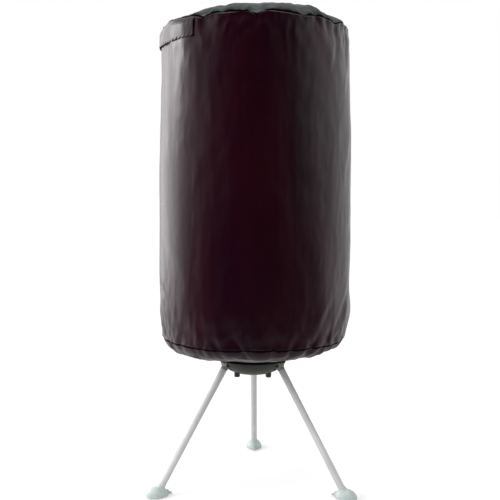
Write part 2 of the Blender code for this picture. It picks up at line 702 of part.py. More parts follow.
for index in range(OUTLET_COUNT):
    angle = 2 * math.pi * (index + 0.5) / OUTLET_COUNT
    outlet = block(
        f"outlet_{index}",
        (OUTLET_INNER, -OUTLET_WIDTH / 2, outlet_bottom),
        (OUTLET_OUTER, OUTLET_WIDTH / 2, cover_top + OVERRUN),
        None, axis, Matrix.Rotation(angle, 4, "Z"),
    )
    combine(upper_housing, outlet)


# Legs: on each, a bracket, a pin, a knuckle, a tube, a foot and its sole
PIN_RADIUS = 0.0025
PIN_HEAD_RADIUS = 0.0045
PIN_HEAD_HEIGHT = 0.0024
STEM_HALF = 0.006
STEM_TOP = math.sqrt((RECESS_RADIUS * math.cos(math.pi / RECESS_STEPS) - GAP) ** 2 - STEM_HALF ** 2)
EYE_RADIUS = 0.0098
BRIDGE_Z = EYE_RADIUS + GAP * 2
SPIGOT_LENGTH = 0.022
SPIGOT_RADIUS = LEG_TUBE_RADIUS - LEG_TUBE_WALL - GAP
NECK_HALF = 0.0075
FOOT_BASE = SOLE_THICKNESS + GAP
SLEEVE_WALL = 0.0022
SLEEVE_HEIGHT = 0.040
SLEEVE_FLARE = 0.004
TAB_LENGTH = 0.022
TAB_WIDTH = 0.012
TAB_HEIGHT = 0.0065
SOLE_LENGTH = 0.040
SOLE_WIDTH = 0.034
foot_radius = FOOT_LENGTH / 2
foot_centre = FOOT_NOSE - foot_radius
tube_length = (PIVOT_Z - FOOT_BASE) / math.cos(LEG_SPLAY) - FOOT_HEIGHT * 0.4
stem_angle = math.asin(STEM_HALF / LUG_RADIUS)
# The bracket's outline is drawn with its X along the leg frame's X and its Y up.
lug_outline = arc(LUG_RADIUS, math.radians(90.0) + stem_angle, math.radians(450.0) - stem_angle, LUG_STEPS)
lug_outline += [(STEM_HALF, STEM_TOP), (-STEM_HALF, STEM_TOP)]
upright = Matrix.Rotation(math.radians(90.0), 4, "X")
neck_angle = math.asin(NECK_HALF / EYE_RADIUS)
neck_start = math.radians(-90.0) + neck_angle
neck_end = math.radians(270.0) - neck_angle
eye_outline = arc(EYE_RADIUS, neck_start, neck_end, LUG_STEPS - 1)
eye_outline += [(-NECK_HALF, -LEG_TUBE_START + GAP), (NECK_HALF, -LEG_TUBE_START + GAP)]

for side_name, azimuth in zip(LEG_NAMES, LEG_AZIMUTHS):
    pivot = frame_at(f"leg_pivot_{side_name}", axis, leg_frame(azimuth))
    leg_axis = frame_at(f"leg_axis_{side_name}", pivot, Matrix.Rotation(-LEG_SPLAY, 4, "Y"))

    bracket = plate(
        f"leg_bracket_{side_name}", [lug_outline], BRACKET_HALF * 2, bracket_plastic, pivot, upright,
    )
    fork = block(
        f"fork_{side_name}", (-RECESS_RADIUS, -KNUCKLE_WIDTH / 2 - GAP, -RECESS_RADIUS),
        (RECESS_RADIUS, KNUCKLE_WIDTH / 2 + GAP, BRIDGE_Z), None, pivot,
    )
    pin_hole = rod(
        f"pin_hole_{side_name}", PIN_RADIUS + GAP, -RECESS_HALF, RECESS_HALF,
        SMALL_STEPS, None, pivot, PIN_TURN,
    )
    combine(bracket, fork)
    combine(bracket, pin_hole)

    head_face = BRACKET_HALF + GAP
    pin_profile = [
        (0.0, head_face + PIN_HEAD_HEIGHT),
        (PIN_HEAD_RADIUS, head_face + PIN_HEAD_HEIGHT),
        (PIN_HEAD_RADIUS, head_face),
        (PIN_RADIUS, head_face),
        (PIN_RADIUS, -head_face),
        (PIN_HEAD_RADIUS, -head_face),
        (PIN_HEAD_RADIUS, -head_face - PIN_HEAD_HEIGHT),
        (0.0, -head_face - PIN_HEAD_HEIGHT),
    ]
    turned(f"leg_pin_{side_name}", pin_profile, SMALL_STEPS, dark_plastic, pivot, PIN_TURN)

    knuckle = plate(
        f"leg_knuckle_{side_name}", [eye_outline], KNUCKLE_WIDTH, bracket_plastic, leg_axis, upright,
    )
    spigot = rod(
        f"spigot_{side_name}", SPIGOT_RADIUS, -LEG_TUBE_START - SPIGOT_LENGTH, -EYE_RADIUS,
        TUBE_STEPS, None, leg_axis,
    )
    combine(knuckle, spigot, "UNION")
    combine(knuckle, pin_hole)

    pipe(
        f"leg_tube_{side_name}", LEG_TUBE_RADIUS, LEG_TUBE_RADIUS - LEG_TUBE_WALL,
        -tube_length, -LEG_TUBE_START, TUBE_STEPS, leg_paint, leg_axis,
    )

    # The foot stands level: its frame undoes the splay, at the point where the leg's
    # line meets the floor.
    leg_end = Matrix.Translation((0.0, 0.0, -PIVOT_Z / math.cos(LEG_SPLAY)))
    level = Matrix.Rotation(LEG_SPLAY, 4, "Y")
    stand = frame_at(f"foot_stand_{side_name}", leg_axis, leg_end @ level)
    dome = bpy.data.meshes.new(f"foot_{side_name}")
    shape = bmesh.new()
    bmesh.ops.create_uvsphere(shape, u_segments=TUBE_STEPS, v_segments=FOOT_DOME_RINGS, radius=1.0)
    bmesh.ops.scale(shape, verts=shape.verts, vec=(foot_radius, FOOT_WIDTH / 2, FOOT_HEIGHT - FOOT_BASE))
    bmesh.ops.translate(shape, verts=shape.verts, vec=(foot_centre, 0.0, FOOT_BASE))
    cut = bmesh.ops.bisect_plane(
        shape, geom=shape.verts[:] + shape.edges[:] + shape.faces[:],
        plane_co=(0.0, 0.0, FOOT_BASE), plane_no=(0.0, 0.0, -1.0), clear_outer=True,
    )
    rim = [item for item in cut["geom_cut"] if isinstance(item, bmesh.types.BMEdge)]
    bmesh.ops.edgeloop_fill(shape, edges=rim)
    bmesh.ops.recalc_face_normals(shape, faces=shape.faces)
    shape.to_mesh(dome)
    shape.free()
    foot = add_mesh(f"foot_{side_name}", dome, foot_plastic, stand)
    sleeve_radius = LEG_TUBE_RADIUS + SLEEVE_WALL
    sleeve_profile = [
        (0.0, SLEEVE_HEIGHT), (sleeve_radius, SLEEVE_HEIGHT),
        (sleeve_radius + SLEEVE_FLARE, SLEEVE_HEIGHT * 0.35), (0.0, SLEEVE_HEIGHT * 0.35),
    ]
    sleeve = turned(
        f"sleeve_{side_name}", sleeve_profile, TUBE_STEPS, None, stand,
        Matrix.Rotation(-LEG_SPLAY, 4, "Y"),
    )
    combine(foot, sleeve, "UNION")
    tab_start = foot_centre - foot_radius
    tab = block(
        f"tab_{side_name}", (tab_start - TAB_LENGTH / 2, -TAB_WIDTH / 2, FOOT_BASE),
        (tab_start + TAB_LENGTH / 2, TAB_WIDTH / 2, FOOT_BASE + TAB_HEIGHT), None, stand,
    )
    combine(foot, tab, "UNION")
    tube_bore = rod(
        f"tube_bore_{side_name}", LEG_TUBE_RADIUS + GAP,
        -tube_length - GAP, -tube_length + SLEEVE_HEIGHT * 2,
        TUBE_STEPS, None, leg_axis,
    )
    combine(foot, tube_bore)

    sole_outline = [
        (SOLE_LENGTH / 2 * x, SOLE_WIDTH / 2 * y) for x, y in circle(1.0, TUBE_STEPS)
    ]
    plate(
        f"foot_sole_{side_name}", [sole_outline], SOLE_THICKNESS, sole_rubber, stand,
        Matrix.Translation((0.0, 0.0, SOLE_THICKNESS / 2)),
    )


# Pole: two tubes, the thinner one pushed into the thicker, with a collar at the joint
UPPER_POLE_RADIUS = POLE_RADIUS - POLE_WALL - GAP
POLE_OVERLAP = 0.060
COLLAR_WALL = 0.004
COLLAR_HEIGHT = 0.030
HUB_ROOF = 0.010
hub_socket_floor = HUB_Z - HUB_ROOF
pipe(
    "pole_lower", POLE_RADIUS, POLE_RADIUS - POLE_WALL, socket_floor + GAP, POLE_JOIN_Z,
    TUBE_STEPS, bright_steel, axis,
)
pipe(
    "pole_upper", UPPER_POLE_RADIUS, UPPER_POLE_RADIUS - POLE_WALL, POLE_JOIN_Z - POLE_OVERLAP,
    hub_socket_floor - GAP, TUBE_STEPS, bright_steel, axis,
)
collar_radius = POLE_RADIUS + GAP
collar_profile = [
    (collar_radius + COLLAR_WALL * 0.5, POLE_JOIN_Z + COLLAR_HEIGHT * 0.4),
    (collar_radius + COLLAR_WALL, POLE_JOIN_Z + COLLAR_HEIGHT * 0.2),
    (collar_radius + COLLAR_WALL, POLE_JOIN_Z - COLLAR_HEIGHT * 0.5),
    (collar_radius + COLLAR_WALL * 0.5, POLE_JOIN_Z - COLLAR_HEIGHT * 0.6),
    (collar_radius, POLE_JOIN_Z - COLLAR_HEIGHT * 0.6),
    (collar_radius, POLE_JOIN_Z + GAP),
    (UPPER_POLE_RADIUS + GAP, POLE_JOIN_Z + GAP),
    (UPPER_POLE_RADIUS + GAP, POLE_JOIN_Z + COLLAR_HEIGHT * 0.4),
]
turned("pole_collar", collar_profile, TUBE_STEPS, dark_plastic, axis)


# Hanger hub: a base and a crown clamp the hinge wire between them, and the six arms
# hinge on it in radial slots. The crown's mushroom head carries the bag's top.
HUB_BASE_HEIGHT = 0.014
HUB_SLOT_INNER = 0.0295
HUB_SLOT_HALF = ARM_THICKNESS / 2 + GAP * 2
HUB_SOCKET_WALL = 0.004
HUB_SOCKET_LENGTH = 0.050
CROWN_SKIRT = 0.010
CROWN_RISE = 0.022
CROWN_STALK_RADIUS = 0.010
CROWN_HEAD_RADIUS = 0.045
CROWN_HEAD_HEIGHT = 0.006
base_bottom = HUB_Z - HUB_BASE_HEIGHT
hub_bore = UPPER_POLE_RADIUS + GAP
hub_base_profile = [
    (0.0, HUB_Z - GAP / 2),
    (HUB_RADIUS, HUB_Z - GAP / 2),
    (HUB_RADIUS, base_bottom + WALL),
    (HUB_RADIUS * 0.94, base_bottom),
    (hub_bore + HUB_SOCKET_WALL * 2, base_bottom),
    (hub_bore + HUB_SOCKET_WALL, base_bottom - WALL * 2),
    (hub_bore + HUB_SOCKET_WALL, base_bottom - HUB_SOCKET_LENGTH),
    (hub_bore, base_bottom - HUB_SOCKET_LENGTH),
    (hub_bore, hub_socket_floor),
    (0.0, hub_socket_floor),
]
hub_base = turned("hub_base", hub_base_profile, WIRE_STEPS, arm_plastic, axis)
crown_top = BAG_TOP_Z - CLOTH - GAP
crown_low = HUB_Z + GAP / 2
crown_profile = [
    (0.0, crown_top),
    (CROWN_HEAD_RADIUS * 0.7, crown_top - CROWN_HEAD_HEIGHT * 0.1),
    (CROWN_HEAD_RADIUS, crown_top - CROWN_HEAD_HEIGHT * 0.5),
    (CROWN_HEAD_RADIUS * 0.95, crown_top - CROWN_HEAD_HEIGHT),
    (CROWN_STALK_RADIUS * 1.6, crown_top - CROWN_HEAD_HEIGHT * 1.3),
    (CROWN_STALK_RADIUS, crown_top - CROWN_HEAD_HEIGHT * 2.5),
    (CROWN_STALK_RADIUS, crown_low + CROWN_SKIRT + CROWN_RISE),
    (CROWN_STALK_RADIUS * 1.6, crown_low + CROWN_SKIRT + CROWN_RISE * 0.5),
    (HUB_RADIUS * 0.92, crown_low + CROWN_SKIRT + WALL),
    (HUB_RADIUS, crown_low + CROWN_SKIRT),
    (HUB_RADIUS, crown_low),
    (0.0, crown_low),
]
hub_crown = turned("hub_crown", crown_profile, WIRE_STEPS, arm_plastic, axis)
ring("hub_wire", HUB_WIRE_CIRCLE, HUB_WIRE_RADIUS, HUB_Z, WIRE_STEPS, WIRE_SIDES, bright_steel, axis)
groove_radius = HUB_WIRE_RADIUS + GAP
wire_groove = ring("wire_groove", HUB_WIRE_CIRCLE, groove_radius, HUB_Z, WIRE_STEPS, WIRE_SIDES, None, axis)
ARM_AZIMUTHS = [math.radians(30.0) + 2 * math.pi * i / ARM_COUNT for i in range(ARM_COUNT)]
slot_top = ARM_DEPTH / 2 + GAP
for index, azimuth in enumerate(ARM_AZIMUTHS):
    slot = block(
        f"hub_slot_{index}", (HUB_SLOT_INNER, -HUB_SLOT_HALF, -HUB_BASE_HEIGHT - OVERRUN),
        (HUB_RADIUS + OVERRUN, HUB_SLOT_HALF, slot_top), None, axis,
        Matrix.Translation((0.0, 0.0, HUB_Z)) @ Matrix.Rotation(azimuth, 4, "Z"),
    )
    combine(hub_base, slot)
    combine(hub_crown, slot)
combine(hub_base, wire_groove)
combine(hub_crown, wire_groove)


# Hanger arms: notched bars with an eye on the hinge wire and an upturned tip
ARM_EYE_RADIUS = 0.0072
ARM_EYE_HOLE = HUB_WIRE_RADIUS + GAP * 2
ARM_TIP_RISE = 0.006
NOTCH_COUNT = 6
NOTCH_WIDTH = 0.009
NOTCH_DEPTH = 0.005
ARM_TIP_DEPTH = 0.012
arm_length = ARM_REACH - HUB_WIRE_CIRCLE
notch_start = HUB_RADIUS - HUB_WIRE_CIRCLE + NOTCH_WIDTH
notch_pitch = (arm_length - notch_start - NOTCH_WIDTH * 1.5) / NOTCH_COUNT
arm_top = ARM_DEPTH / 2


def arm_underside(x):
    """The bar's lower edge rises towards the tip."""
    return -arm_top + (ARM_DEPTH - ARM_TIP_DEPTH) * x / arm_length


arm_outline = [(ARM_EYE_RADIUS * 0.8, arm_top)]
for index in range(NOTCH_COUNT):
    left = notch_start + notch_pitch * index
    arm_outline += [
        (left, arm_top), (left + NOTCH_WIDTH * 0.25, arm_top - NOTCH_DEPTH),
        (left + NOTCH_WIDTH * 0.75, arm_top - NOTCH_DEPTH), (left + NOTCH_WIDTH, arm_top),
    ]
arm_outline += [
    (arm_length - NOTCH_WIDTH, arm_top),
    (arm_length - NOTCH_WIDTH * 0.5, arm_top + ARM_TIP_RISE),
    (arm_length, arm_top + ARM_TIP_RISE * 0.7),
    (arm_length, arm_underside(arm_length) + ARM_TIP_RISE * 0.5),
    (arm_length - ARM_TIP_RISE, arm_underside(arm_length)),
    (ARM_EYE_RADIUS * 1.6, arm_underside(ARM_EYE_RADIUS)),
]
arm_outline += arc(ARM_EYE_RADIUS, math.radians(-60.0), math.radians(-240.0), EYE_STEPS)
arm_eye = circle(ARM_EYE_HOLE, SMALL_STEPS)
for index, azimuth in enumerate(ARM_AZIMUTHS):
    spot = (HUB_WIRE_CIRCLE * math.cos(azimuth), HUB_WIRE_CIRCLE * math.sin(azimuth), HUB_Z)
    arm_place = Matrix.Translation(spot) @ Matrix.Rotation(azimuth, 4, "Z")
    hinge = frame_at(f"arm_hinge_{index + 1}", axis, arm_place)
    plate(f"hanger_arm_{index + 1}", [arm_outline, arm_eye], ARM_THICKNESS, arm_plastic, hinge, upright)


# Bag: a slightly barrelled side, a domed top and a rounded bottom, sewn at two seams
# round wire hoops, and gathered at the hem round the housing.
SIDE_SHARES = (
    (0.000, 0.000), (0.430, 0.061), (0.700, 0.230), (0.965, 0.440),
    (1.000, 0.650), (0.800, 0.900), (0.000, 1.000),
)
side_height = BAG_TOP_SEAM_Z - BAG_BOTTOM_SEAM_Z
side_outer = [
    (BAG_SEAM_RADIUS + (BAG_RADIUS - BAG_SEAM_RADIUS) * bulge, BAG_TOP_SEAM_Z - side_height * drop)
    for bulge, drop in SIDE_SHARES
]
side_inner = offset_profile(side_outer, CLOTH, (-1.0, 0.0), (-1.0, 0.0))
turned("bag_side", side_outer + side_inner[::-1], BAG_STEPS, bag_nylon, axis)

TOP_SHARES = ((0.0, 1.0), (0.18, 1.0), (0.52, 0.92), (0.70, 0.79), (0.84, 0.60), (0.925, 0.38), (0.979, 0.19))
top_rise = BAG_TOP_Z - BAG_TOP_SEAM_Z - GAP
top_low = BAG_TOP_SEAM_Z + GAP
top_outer = [(BAG_SEAM_RADIUS * r, top_low + top_rise * z) for r, z in TOP_SHARES]
top_outer.append((BAG_SEAM_RADIUS, top_low))
top_inner = offset_profile(top_outer, CLOTH, (0.0, -1.0), (-1.0, 0.0))
turned("bag_top", top_outer + top_inner[::-1], BAG_STEPS, bag_nylon, axis)

hem_top = BOWL_SHOULDER_Z + HEM_HEIGHT / 2
hem_inner = HOUSING_RADIUS + GAP
BOTTOM_SHARES = ((1.0, 1.0), (0.945, 0.68), (0.86, 0.49), (0.73, 0.24), (0.47, 0.06), (0.19, 0.0), (0.0, 0.0))
bottom_edge = hem_inner + CLOTH / 2
bottom_low = hem_top + GAP
bottom_high = BAG_BOTTOM_SEAM_Z - GAP
bottom_outer = [
    (bottom_edge + (BAG_SEAM_RADIUS - bottom_edge) * r, bottom_low + (bottom_high - bottom_low) * z)
    for r, z in BOTTOM_SHARES
]
bottom_inner = offset_profile(bottom_outer, CLOTH, (-1.0, 0.0), (0.0, 1.0))
turned("bag_bottom", bottom_outer + bottom_inner[::-1], BAG_STEPS, bag_nylon, axis)
pipe(
    "bag_hem", hem_inner + HEM_THICKNESS, hem_inner, hem_top - HEM_HEIGHT, hem_top,
    HOUSING_STEPS, hem_tape, axis,
)

hoop_radius = BAG_SEAM_RADIUS - CLOTH - HOOP_WIRE_RADIUS - GAP
hoop_places = (
    ("hoop_top", BAG_TOP_SEAM_Z - HOOP_WIRE_RADIUS),
    ("hoop_bottom", BAG_BOTTOM_SEAM_Z + HOOP_WIRE_RADIUS),
)
for name, z in hoop_places:
    ring(name, hoop_radius, HOOP_WIRE_RADIUS, z, BAG_STEPS, WIRE_SIDES, bright_steel, axis)


# Zip under a hanging flap, round the left and back of the bag just below the top seam
def side_radius(z):
    """The outer radius of the bag's side at a height."""
    for (r_high, high), (r_low, low) in zip(side_outer, side_outer[1:]):
        if low <= z <= high:
            return r_low + (r_high - r_low) * (z - low) / (high - low)
    return BAG_SEAM_RADIUS


def open_wedge(name, start, span, low, high):
    """A pie-shaped cutter that removes the part of a ring outside its span."""
    pie = [(0.0, 0.0), *arc(BAG_RADIUS * 2, start, start + span, SMALL_STEPS)]
    middle = Matrix.Translation((0.0, 0.0, (low + high) / 2))
    return plate(name, [pie], high - low, None, axis, middle)


FLAP_THICKNESS = 0.001
ZIP_TAPE_THICKNESS = 0.0008
SLIDER_LENGTH = 0.012
SLIDER_HEIGHT = 0.008
SLIDER_THICKNESS = 0.0022
PULL_LENGTH = 0.018
PULL_WIDTH = 0.004
PULL_THICKNESS = 0.0012
zip_z = BAG_TOP_SEAM_Z - ZIP_DROP
pull_face = side_radius(zip_z - PULL_LENGTH) + GAP + ZIP_TAPE_THICKNESS
flap_low = BAG_TOP_SEAM_Z - FLAP_DROP
flap_top = BAG_TOP_SEAM_Z - GAP
flap_root = BAG_SEAM_RADIUS + GAP
# The flap slopes out from the seam, and hangs straight down just clear of the pull.
flap_hang = pull_face + PULL_THICKNESS + FLAP_CLEARANCE
shoulder_z = BAG_TOP_SEAM_Z - FLAP_SHOULDER
flap_profile = [
    (flap_root, flap_top), (flap_hang + FLAP_THICKNESS, shoulder_z),
    (flap_hang + FLAP_THICKNESS, flap_low), (flap_hang, flap_low),
    (flap_hang, shoulder_z), (flap_root, flap_top - FLAP_THICKNESS * 2),
]
# Azimuths run from the front: the flap starts at the front left and ends at the back.
front = math.radians(-90.0)
flap = turned("zip_flap", flap_profile, FLAP_STEPS, bag_nylon, axis)
flap_wedge = open_wedge(
    "flap_wedge", front - FLAP_START, 2 * math.pi - FLAP_SPAN, flap_low - OVERRUN, flap_top + OVERRUN,
)
combine(flap, flap_wedge)

tape_high = zip_z + ZIP_WIDTH / 2
tape_low = zip_z - ZIP_WIDTH / 2
tape_profile = [
    (side_radius(tape_high) + GAP + ZIP_TAPE_THICKNESS, tape_high),
    (side_radius(tape_low) + GAP + ZIP_TAPE_THICKNESS, tape_low),
    (side_radius(tape_low) + GAP, tape_low),
    (side_radius(tape_high) + GAP, tape_high),
]
zip_tape = turned("zip_tape", tape_profile, FLAP_STEPS, zip_finish, axis)
zip_wedge = open_wedge(
    "zip_wedge", front - FLAP_START - ZIP_INSET, 2 * math.pi - FLAP_SPAN + 2 * ZIP_INSET,
    tape_low - OVERRUN, tape_high + OVERRUN,
)
combine(zip_tape, zip_wedge)

# At rest the slider stands on one of the tape's corners, where the tape is proudest.
facet = 2 * math.pi / FLAP_STEPS
slider_angle = facet * math.floor((front - FLAP_START - ZIP_INSET) / facet)
slider_axis = frame_at("zip_slider_axis", axis, Matrix.Rotation(slider_angle, 4, "Z"))
slider_face = side_radius(zip_z - SLIDER_HEIGHT / 2) + GAP * 2 + ZIP_TAPE_THICKNESS
zip_slider = block(
    "zip_slider", (slider_face, -SLIDER_LENGTH / 2, zip_z - SLIDER_HEIGHT / 2),
    (slider_face + SLIDER_THICKNESS, SLIDER_LENGTH / 2, zip_z + SLIDER_HEIGHT / 2), zip_finish, slider_axis,
)
pull = block(
    "zip_pull", (pull_face, -PULL_WIDTH / 2, zip_z - PULL_LENGTH),
    (pull_face + PULL_THICKNESS, PULL_WIDTH / 2, zip_z), None, slider_axis,
)
combine(zip_slider, pull, "UNION")
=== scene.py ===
from math import cos, pi, radians, sin, tan

import bpy
import numpy as np
from mathutils import Matrix, Vector, noise


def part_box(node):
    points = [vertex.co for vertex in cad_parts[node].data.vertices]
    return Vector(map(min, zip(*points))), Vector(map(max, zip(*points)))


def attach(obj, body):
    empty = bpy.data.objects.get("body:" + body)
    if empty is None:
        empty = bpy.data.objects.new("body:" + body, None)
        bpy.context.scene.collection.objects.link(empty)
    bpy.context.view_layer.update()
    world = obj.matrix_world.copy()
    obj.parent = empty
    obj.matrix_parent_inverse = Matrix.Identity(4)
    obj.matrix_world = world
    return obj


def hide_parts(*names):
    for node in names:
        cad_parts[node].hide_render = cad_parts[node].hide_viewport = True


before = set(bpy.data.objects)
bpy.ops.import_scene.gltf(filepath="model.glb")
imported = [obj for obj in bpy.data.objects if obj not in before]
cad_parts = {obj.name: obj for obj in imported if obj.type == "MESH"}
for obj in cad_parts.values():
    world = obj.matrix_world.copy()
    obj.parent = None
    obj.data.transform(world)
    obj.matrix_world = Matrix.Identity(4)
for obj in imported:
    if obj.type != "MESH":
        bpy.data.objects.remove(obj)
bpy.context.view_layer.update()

# Camera, floor and light: the dryer stands on a white studio floor, turned a little to its
# left. White walls stand behind and beside it, and the room is dark behind the camera.
pole_low, pole_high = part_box("pole_lower")
AXIS = Vector(((pole_low[0] + pole_high[0]) / 2, (pole_low[1] + pole_high[1]) / 2, 0.0))
CAMERA_PLACE = Vector((-0.0114, -2.6, 0.918))
CAMERA_PITCH = radians(86.07)
CAMERA_TURN = radians(1.2)
CAMERA_ROLL = radians(0.3)
SENSOR = 36.0
# the focal length in widths of the picture
FOCAL_SHARE = 824 / 500


def linear(code):
    """The linear colour of an sRGB hex code."""
    shares = [int(code[i:i + 2], 16) / 255 for i in (1, 3, 5)]
    return (*[s / 12.92 if s <= 0.04045 else ((s + 0.055) / 1.055) ** 2.4 for s in shares], 1.0)


def add_node(owner, kind, inputs=None, **settings):
    """Adds a node to a material or world. An input is linked to a socket or set to a value."""
    tree = owner.node_tree
    made = kind if isinstance(kind, bpy.types.Node) else tree.nodes.new(kind)
    for name, value in settings.items():
        setattr(made, name, value)
    for name, value in (inputs or {}).items():
        if isinstance(value, bpy.types.NodeSocket):
            tree.links.new(value, made.inputs[name])
        else:
            made.inputs[name].default_value = value
    return made


def ranged(owner, value, start, end, low=0.0, high=1.0, kind="LINEAR"):
    """A value brought from one range to another. The socket that holds it is given back."""
    return add_node(owner, "ShaderNodeMapRange", {
        "Value": value, "From Min": start, "From Max": end, "To Min": low, "To Max": high,
    }, interpolation_type=kind).outputs[0]


def computed(owner, operation, first, second):
    return add_node(owner, "ShaderNodeMath", {0: first, 1: second}, operation=operation).outputs[0]


def placed(name, data):
    """A new object in the scene."""
    made = bpy.data.objects.new(name, data)
    bpy.context.scene.collection.objects.link(made)
    return made


def new_material(name):
    made = bpy.data.materials.new(name)
    made.use_nodes = True
    return made, made.node_tree.nodes["Principled BSDF"]


camera_data = bpy.data.cameras.new("camera")
camera_data.sensor_width = SENSOR
camera_data.lens = SENSOR * FOCAL_SHARE
camera = placed("camera", camera_data)
turn = Matrix.Rotation(CAMERA_TURN, 4, "Z")
camera.matrix_world = (
    Matrix.Translation(AXIS) @ turn @ Matrix.Translation(CAMERA_PLACE)
    @ Matrix.Rotation(CAMERA_PITCH, 4, "X") @ Matrix.Rotation(CAMERA_ROLL, 4, "Z")
)
bpy.context.scene.camera = camera
bpy.context.scene.view_settings.view_transform = "Standard"

# The floor is pale paint near the dryer, where it keeps the shadow, and turns into a plain
# white glow between two distances from it. In glossy surfaces it mirrors like the room: dim
# in front of the dryer and bright behind. A Mix node's sockets are 0 for its factor, 2 and 3
# for floats, 6 and 7 for colours.
FLOOR_SIZE = 60.0
FLOOR_TOP = -0.0005
GLOW_STARTS, GLOW_FULL = 0.7, 2.6
NEAR_GLOW = 0.45
FLOOR_FRONT, FLOOR_BACK = -1.2, 0.4
MIRROR_BRIGHT, MIRROR_DIM = 0.85, 0.7
NEAR_PAINT, FAR_PAINT = linear("#E6E6E6"), (0.1, 0.1, 0.1, 1.0)
BLACK, WHITE = (0.0, 0.0, 0.0, 1.0), (1.0, 1.0, 1.0, 1.0)
bpy.ops.mesh.primitive_plane_add(size=FLOOR_SIZE, location=(0.0, 0.0, FLOOR_TOP))
floor = bpy.context.object
floor.name = "studio_floor"
floor_paint, shader = new_material("white studio floor")
floor_place = add_node(floor_paint, "ShaderNodeTexCoord")
light_path = add_node(floor_paint, "ShaderNodeLightPath")
far = add_node(floor_paint, "ShaderNodeVectorMath", {0: floor_place.outputs["Object"]}, operation="LENGTH")
fade = ranged(floor_paint, far.outputs["Value"], GLOW_STARTS, GLOW_FULL, kind="SMOOTHSTEP")
paint = add_node(floor_paint, "ShaderNodeMix", {0: fade, 6: NEAR_PAINT, 7: FAR_PAINT}, data_type="RGBA")
glow = ranged(floor_paint, fade, 0.0, 1.0, NEAR_GLOW)
seen = computed(floor_paint, "MULTIPLY", light_path.outputs["Is Camera Ray"], glow)
floor_split = add_node(floor_paint, "ShaderNodeSeparateXYZ", {0: floor_place.outputs["Object"]})
behind = ranged(
    floor_paint, floor_split.outputs["Y"], FLOOR_FRONT, FLOOR_BACK, high=MIRROR_BRIGHT, kind="SMOOTHSTEP",
)
mirrored = computed(floor_paint, "MULTIPLY", light_path.outputs["Is Glossy Ray"], behind)
mirrored_far = computed(floor_paint, "MULTIPLY", mirrored, fade)
in_front = ranged(floor_paint, behind, 0.0, MIRROR_BRIGHT, MIRROR_DIM, 0.0)
dim = computed(floor_paint, "MULTIPLY", light_path.outputs["Is Glossy Ray"], in_front)
dimmed = add_node(floor_paint, "ShaderNodeMix", {0: dim, 6: paint.outputs[2], 7: BLACK}, data_type="RGBA")
add_node(floor_paint, shader, {
    "Base Color": dimmed.outputs[2], "Roughness": 0.9, "Specular IOR Level": 0.0,
    "Emission Color": WHITE, "Emission Strength": computed(floor_paint, "ADD", seen, mirrored_far),
})
floor.data.materials.append(floor_paint)

# The room lights matt surfaces evenly. Glossy ones see it dark to the front and white from
# beside the dryer on, and the camera sees it white.
ROOM_LIGHT = 0.44
DARK_UNTIL, WHITE_FROM = -0.95, 0.08
studio = bpy.data.worlds.new("white studio room")
bpy.context.scene.world = studio
studio.use_nodes = True
background = studio.node_tree.nodes["Background"]
world_path = add_node(studio, "ShaderNodeLightPath")
towards = add_node(studio, "ShaderNodeTexCoord")
split = add_node(studio, "ShaderNodeSeparateXYZ", {0: towards.outputs["Generated"]})
wall = ranged(studio, split.outputs["Y"], DARK_UNTIL, WHITE_FROM, kind="SMOOTHSTEP")
room = add_node(studio, "ShaderNodeMix", {
    0: world_path.outputs["Is Glossy Ray"], 2: ROOM_LIGHT, 3: wall,
}, data_type="FLOAT")
shown = computed(
    studio, "MAXIMUM", world_path.outputs["Is Camera Ray"], world_path.outputs["Is Transmission Ray"],
)
brightness = add_node(studio, "ShaderNodeMix", {0: shown, 2: room.outputs[0], 3: 1.0}, data_type="FLOAT")
add_node(studio, background, {"Color": WHITE, "Strength": brightness.outputs[0]})

# name, place, aim, width, height, watts, seen in gloss, lights matt surfaces
LAMPS = (
    ("key_softbox", (-3.2, -1.3, 1.9), (0.0, 0.0, 0.8), 1.6, 1.6, 82.0, False, True),
    ("side_softbox", (-2.3, 1.4, 1.5), (0.0, 0.0, 0.9), 2.4, 2.6, 34.0, True, True),
    ("upper_softbox", (-2.8, 0.6, 2.0), (0.0, 0.0, 1.4), 1.0, 0.9, 21.0, True, False),
    ("fill_softbox", (2.6, -1.6, 1.2), (0.0, 0.0, 0.7), 1.4, 1.8, 12.0, False, True),
    ("top_softbox", (0.0, -0.2, 3.5), (0.0, 0.0, 1.2), 2.0, 2.0, 24.0, True, True),
)
for name, place, aim, width, height, watts, in_gloss, on_matt in LAMPS:
    lamp_data = bpy.data.lights.new(name, "AREA")
    lamp_data.shape = "RECTANGLE"
    lamp_data.size = width
    lamp_data.size_y = height
    lamp_data.energy = watts
    lamp = placed(name, lamp_data)
    lamp.location = Vector(place) + AXIS
    lamp.rotation_euler = (Vector(aim) - Vector(place)).to_track_quat("-Z", "Y").to_euler()
    lamp.visible_glossy = in_gloss
    lamp.visible_diffuse = on_matt
    lamp.visible_camera = False


# Housing: a bowl and a cover moulded in grey-green ABS, pressed together. The bowl has three
# recesses for the legs, three stub feet to stand on when folded, and bosses on its side.
MERGE_WITHIN = 0.000004
FLAT_WITHIN = radians(0.6)
SHARP_FROM = radians(38.0)
# in degrees
SMOOTH_UNTIL, SMOOTH_LEG = 35.0, 40.0


def clouds(made, place, scale, detail):
    return add_node(made, "ShaderNodeTexNoise", {
        "Vector": place, "Scale": scale, "Detail": detail,
    }).outputs["Fac"]


# the part of a noise's range that its patches of colour and gloss are spread over
PATCH_LOW, PATCH_HIGH = 0.3, 0.7


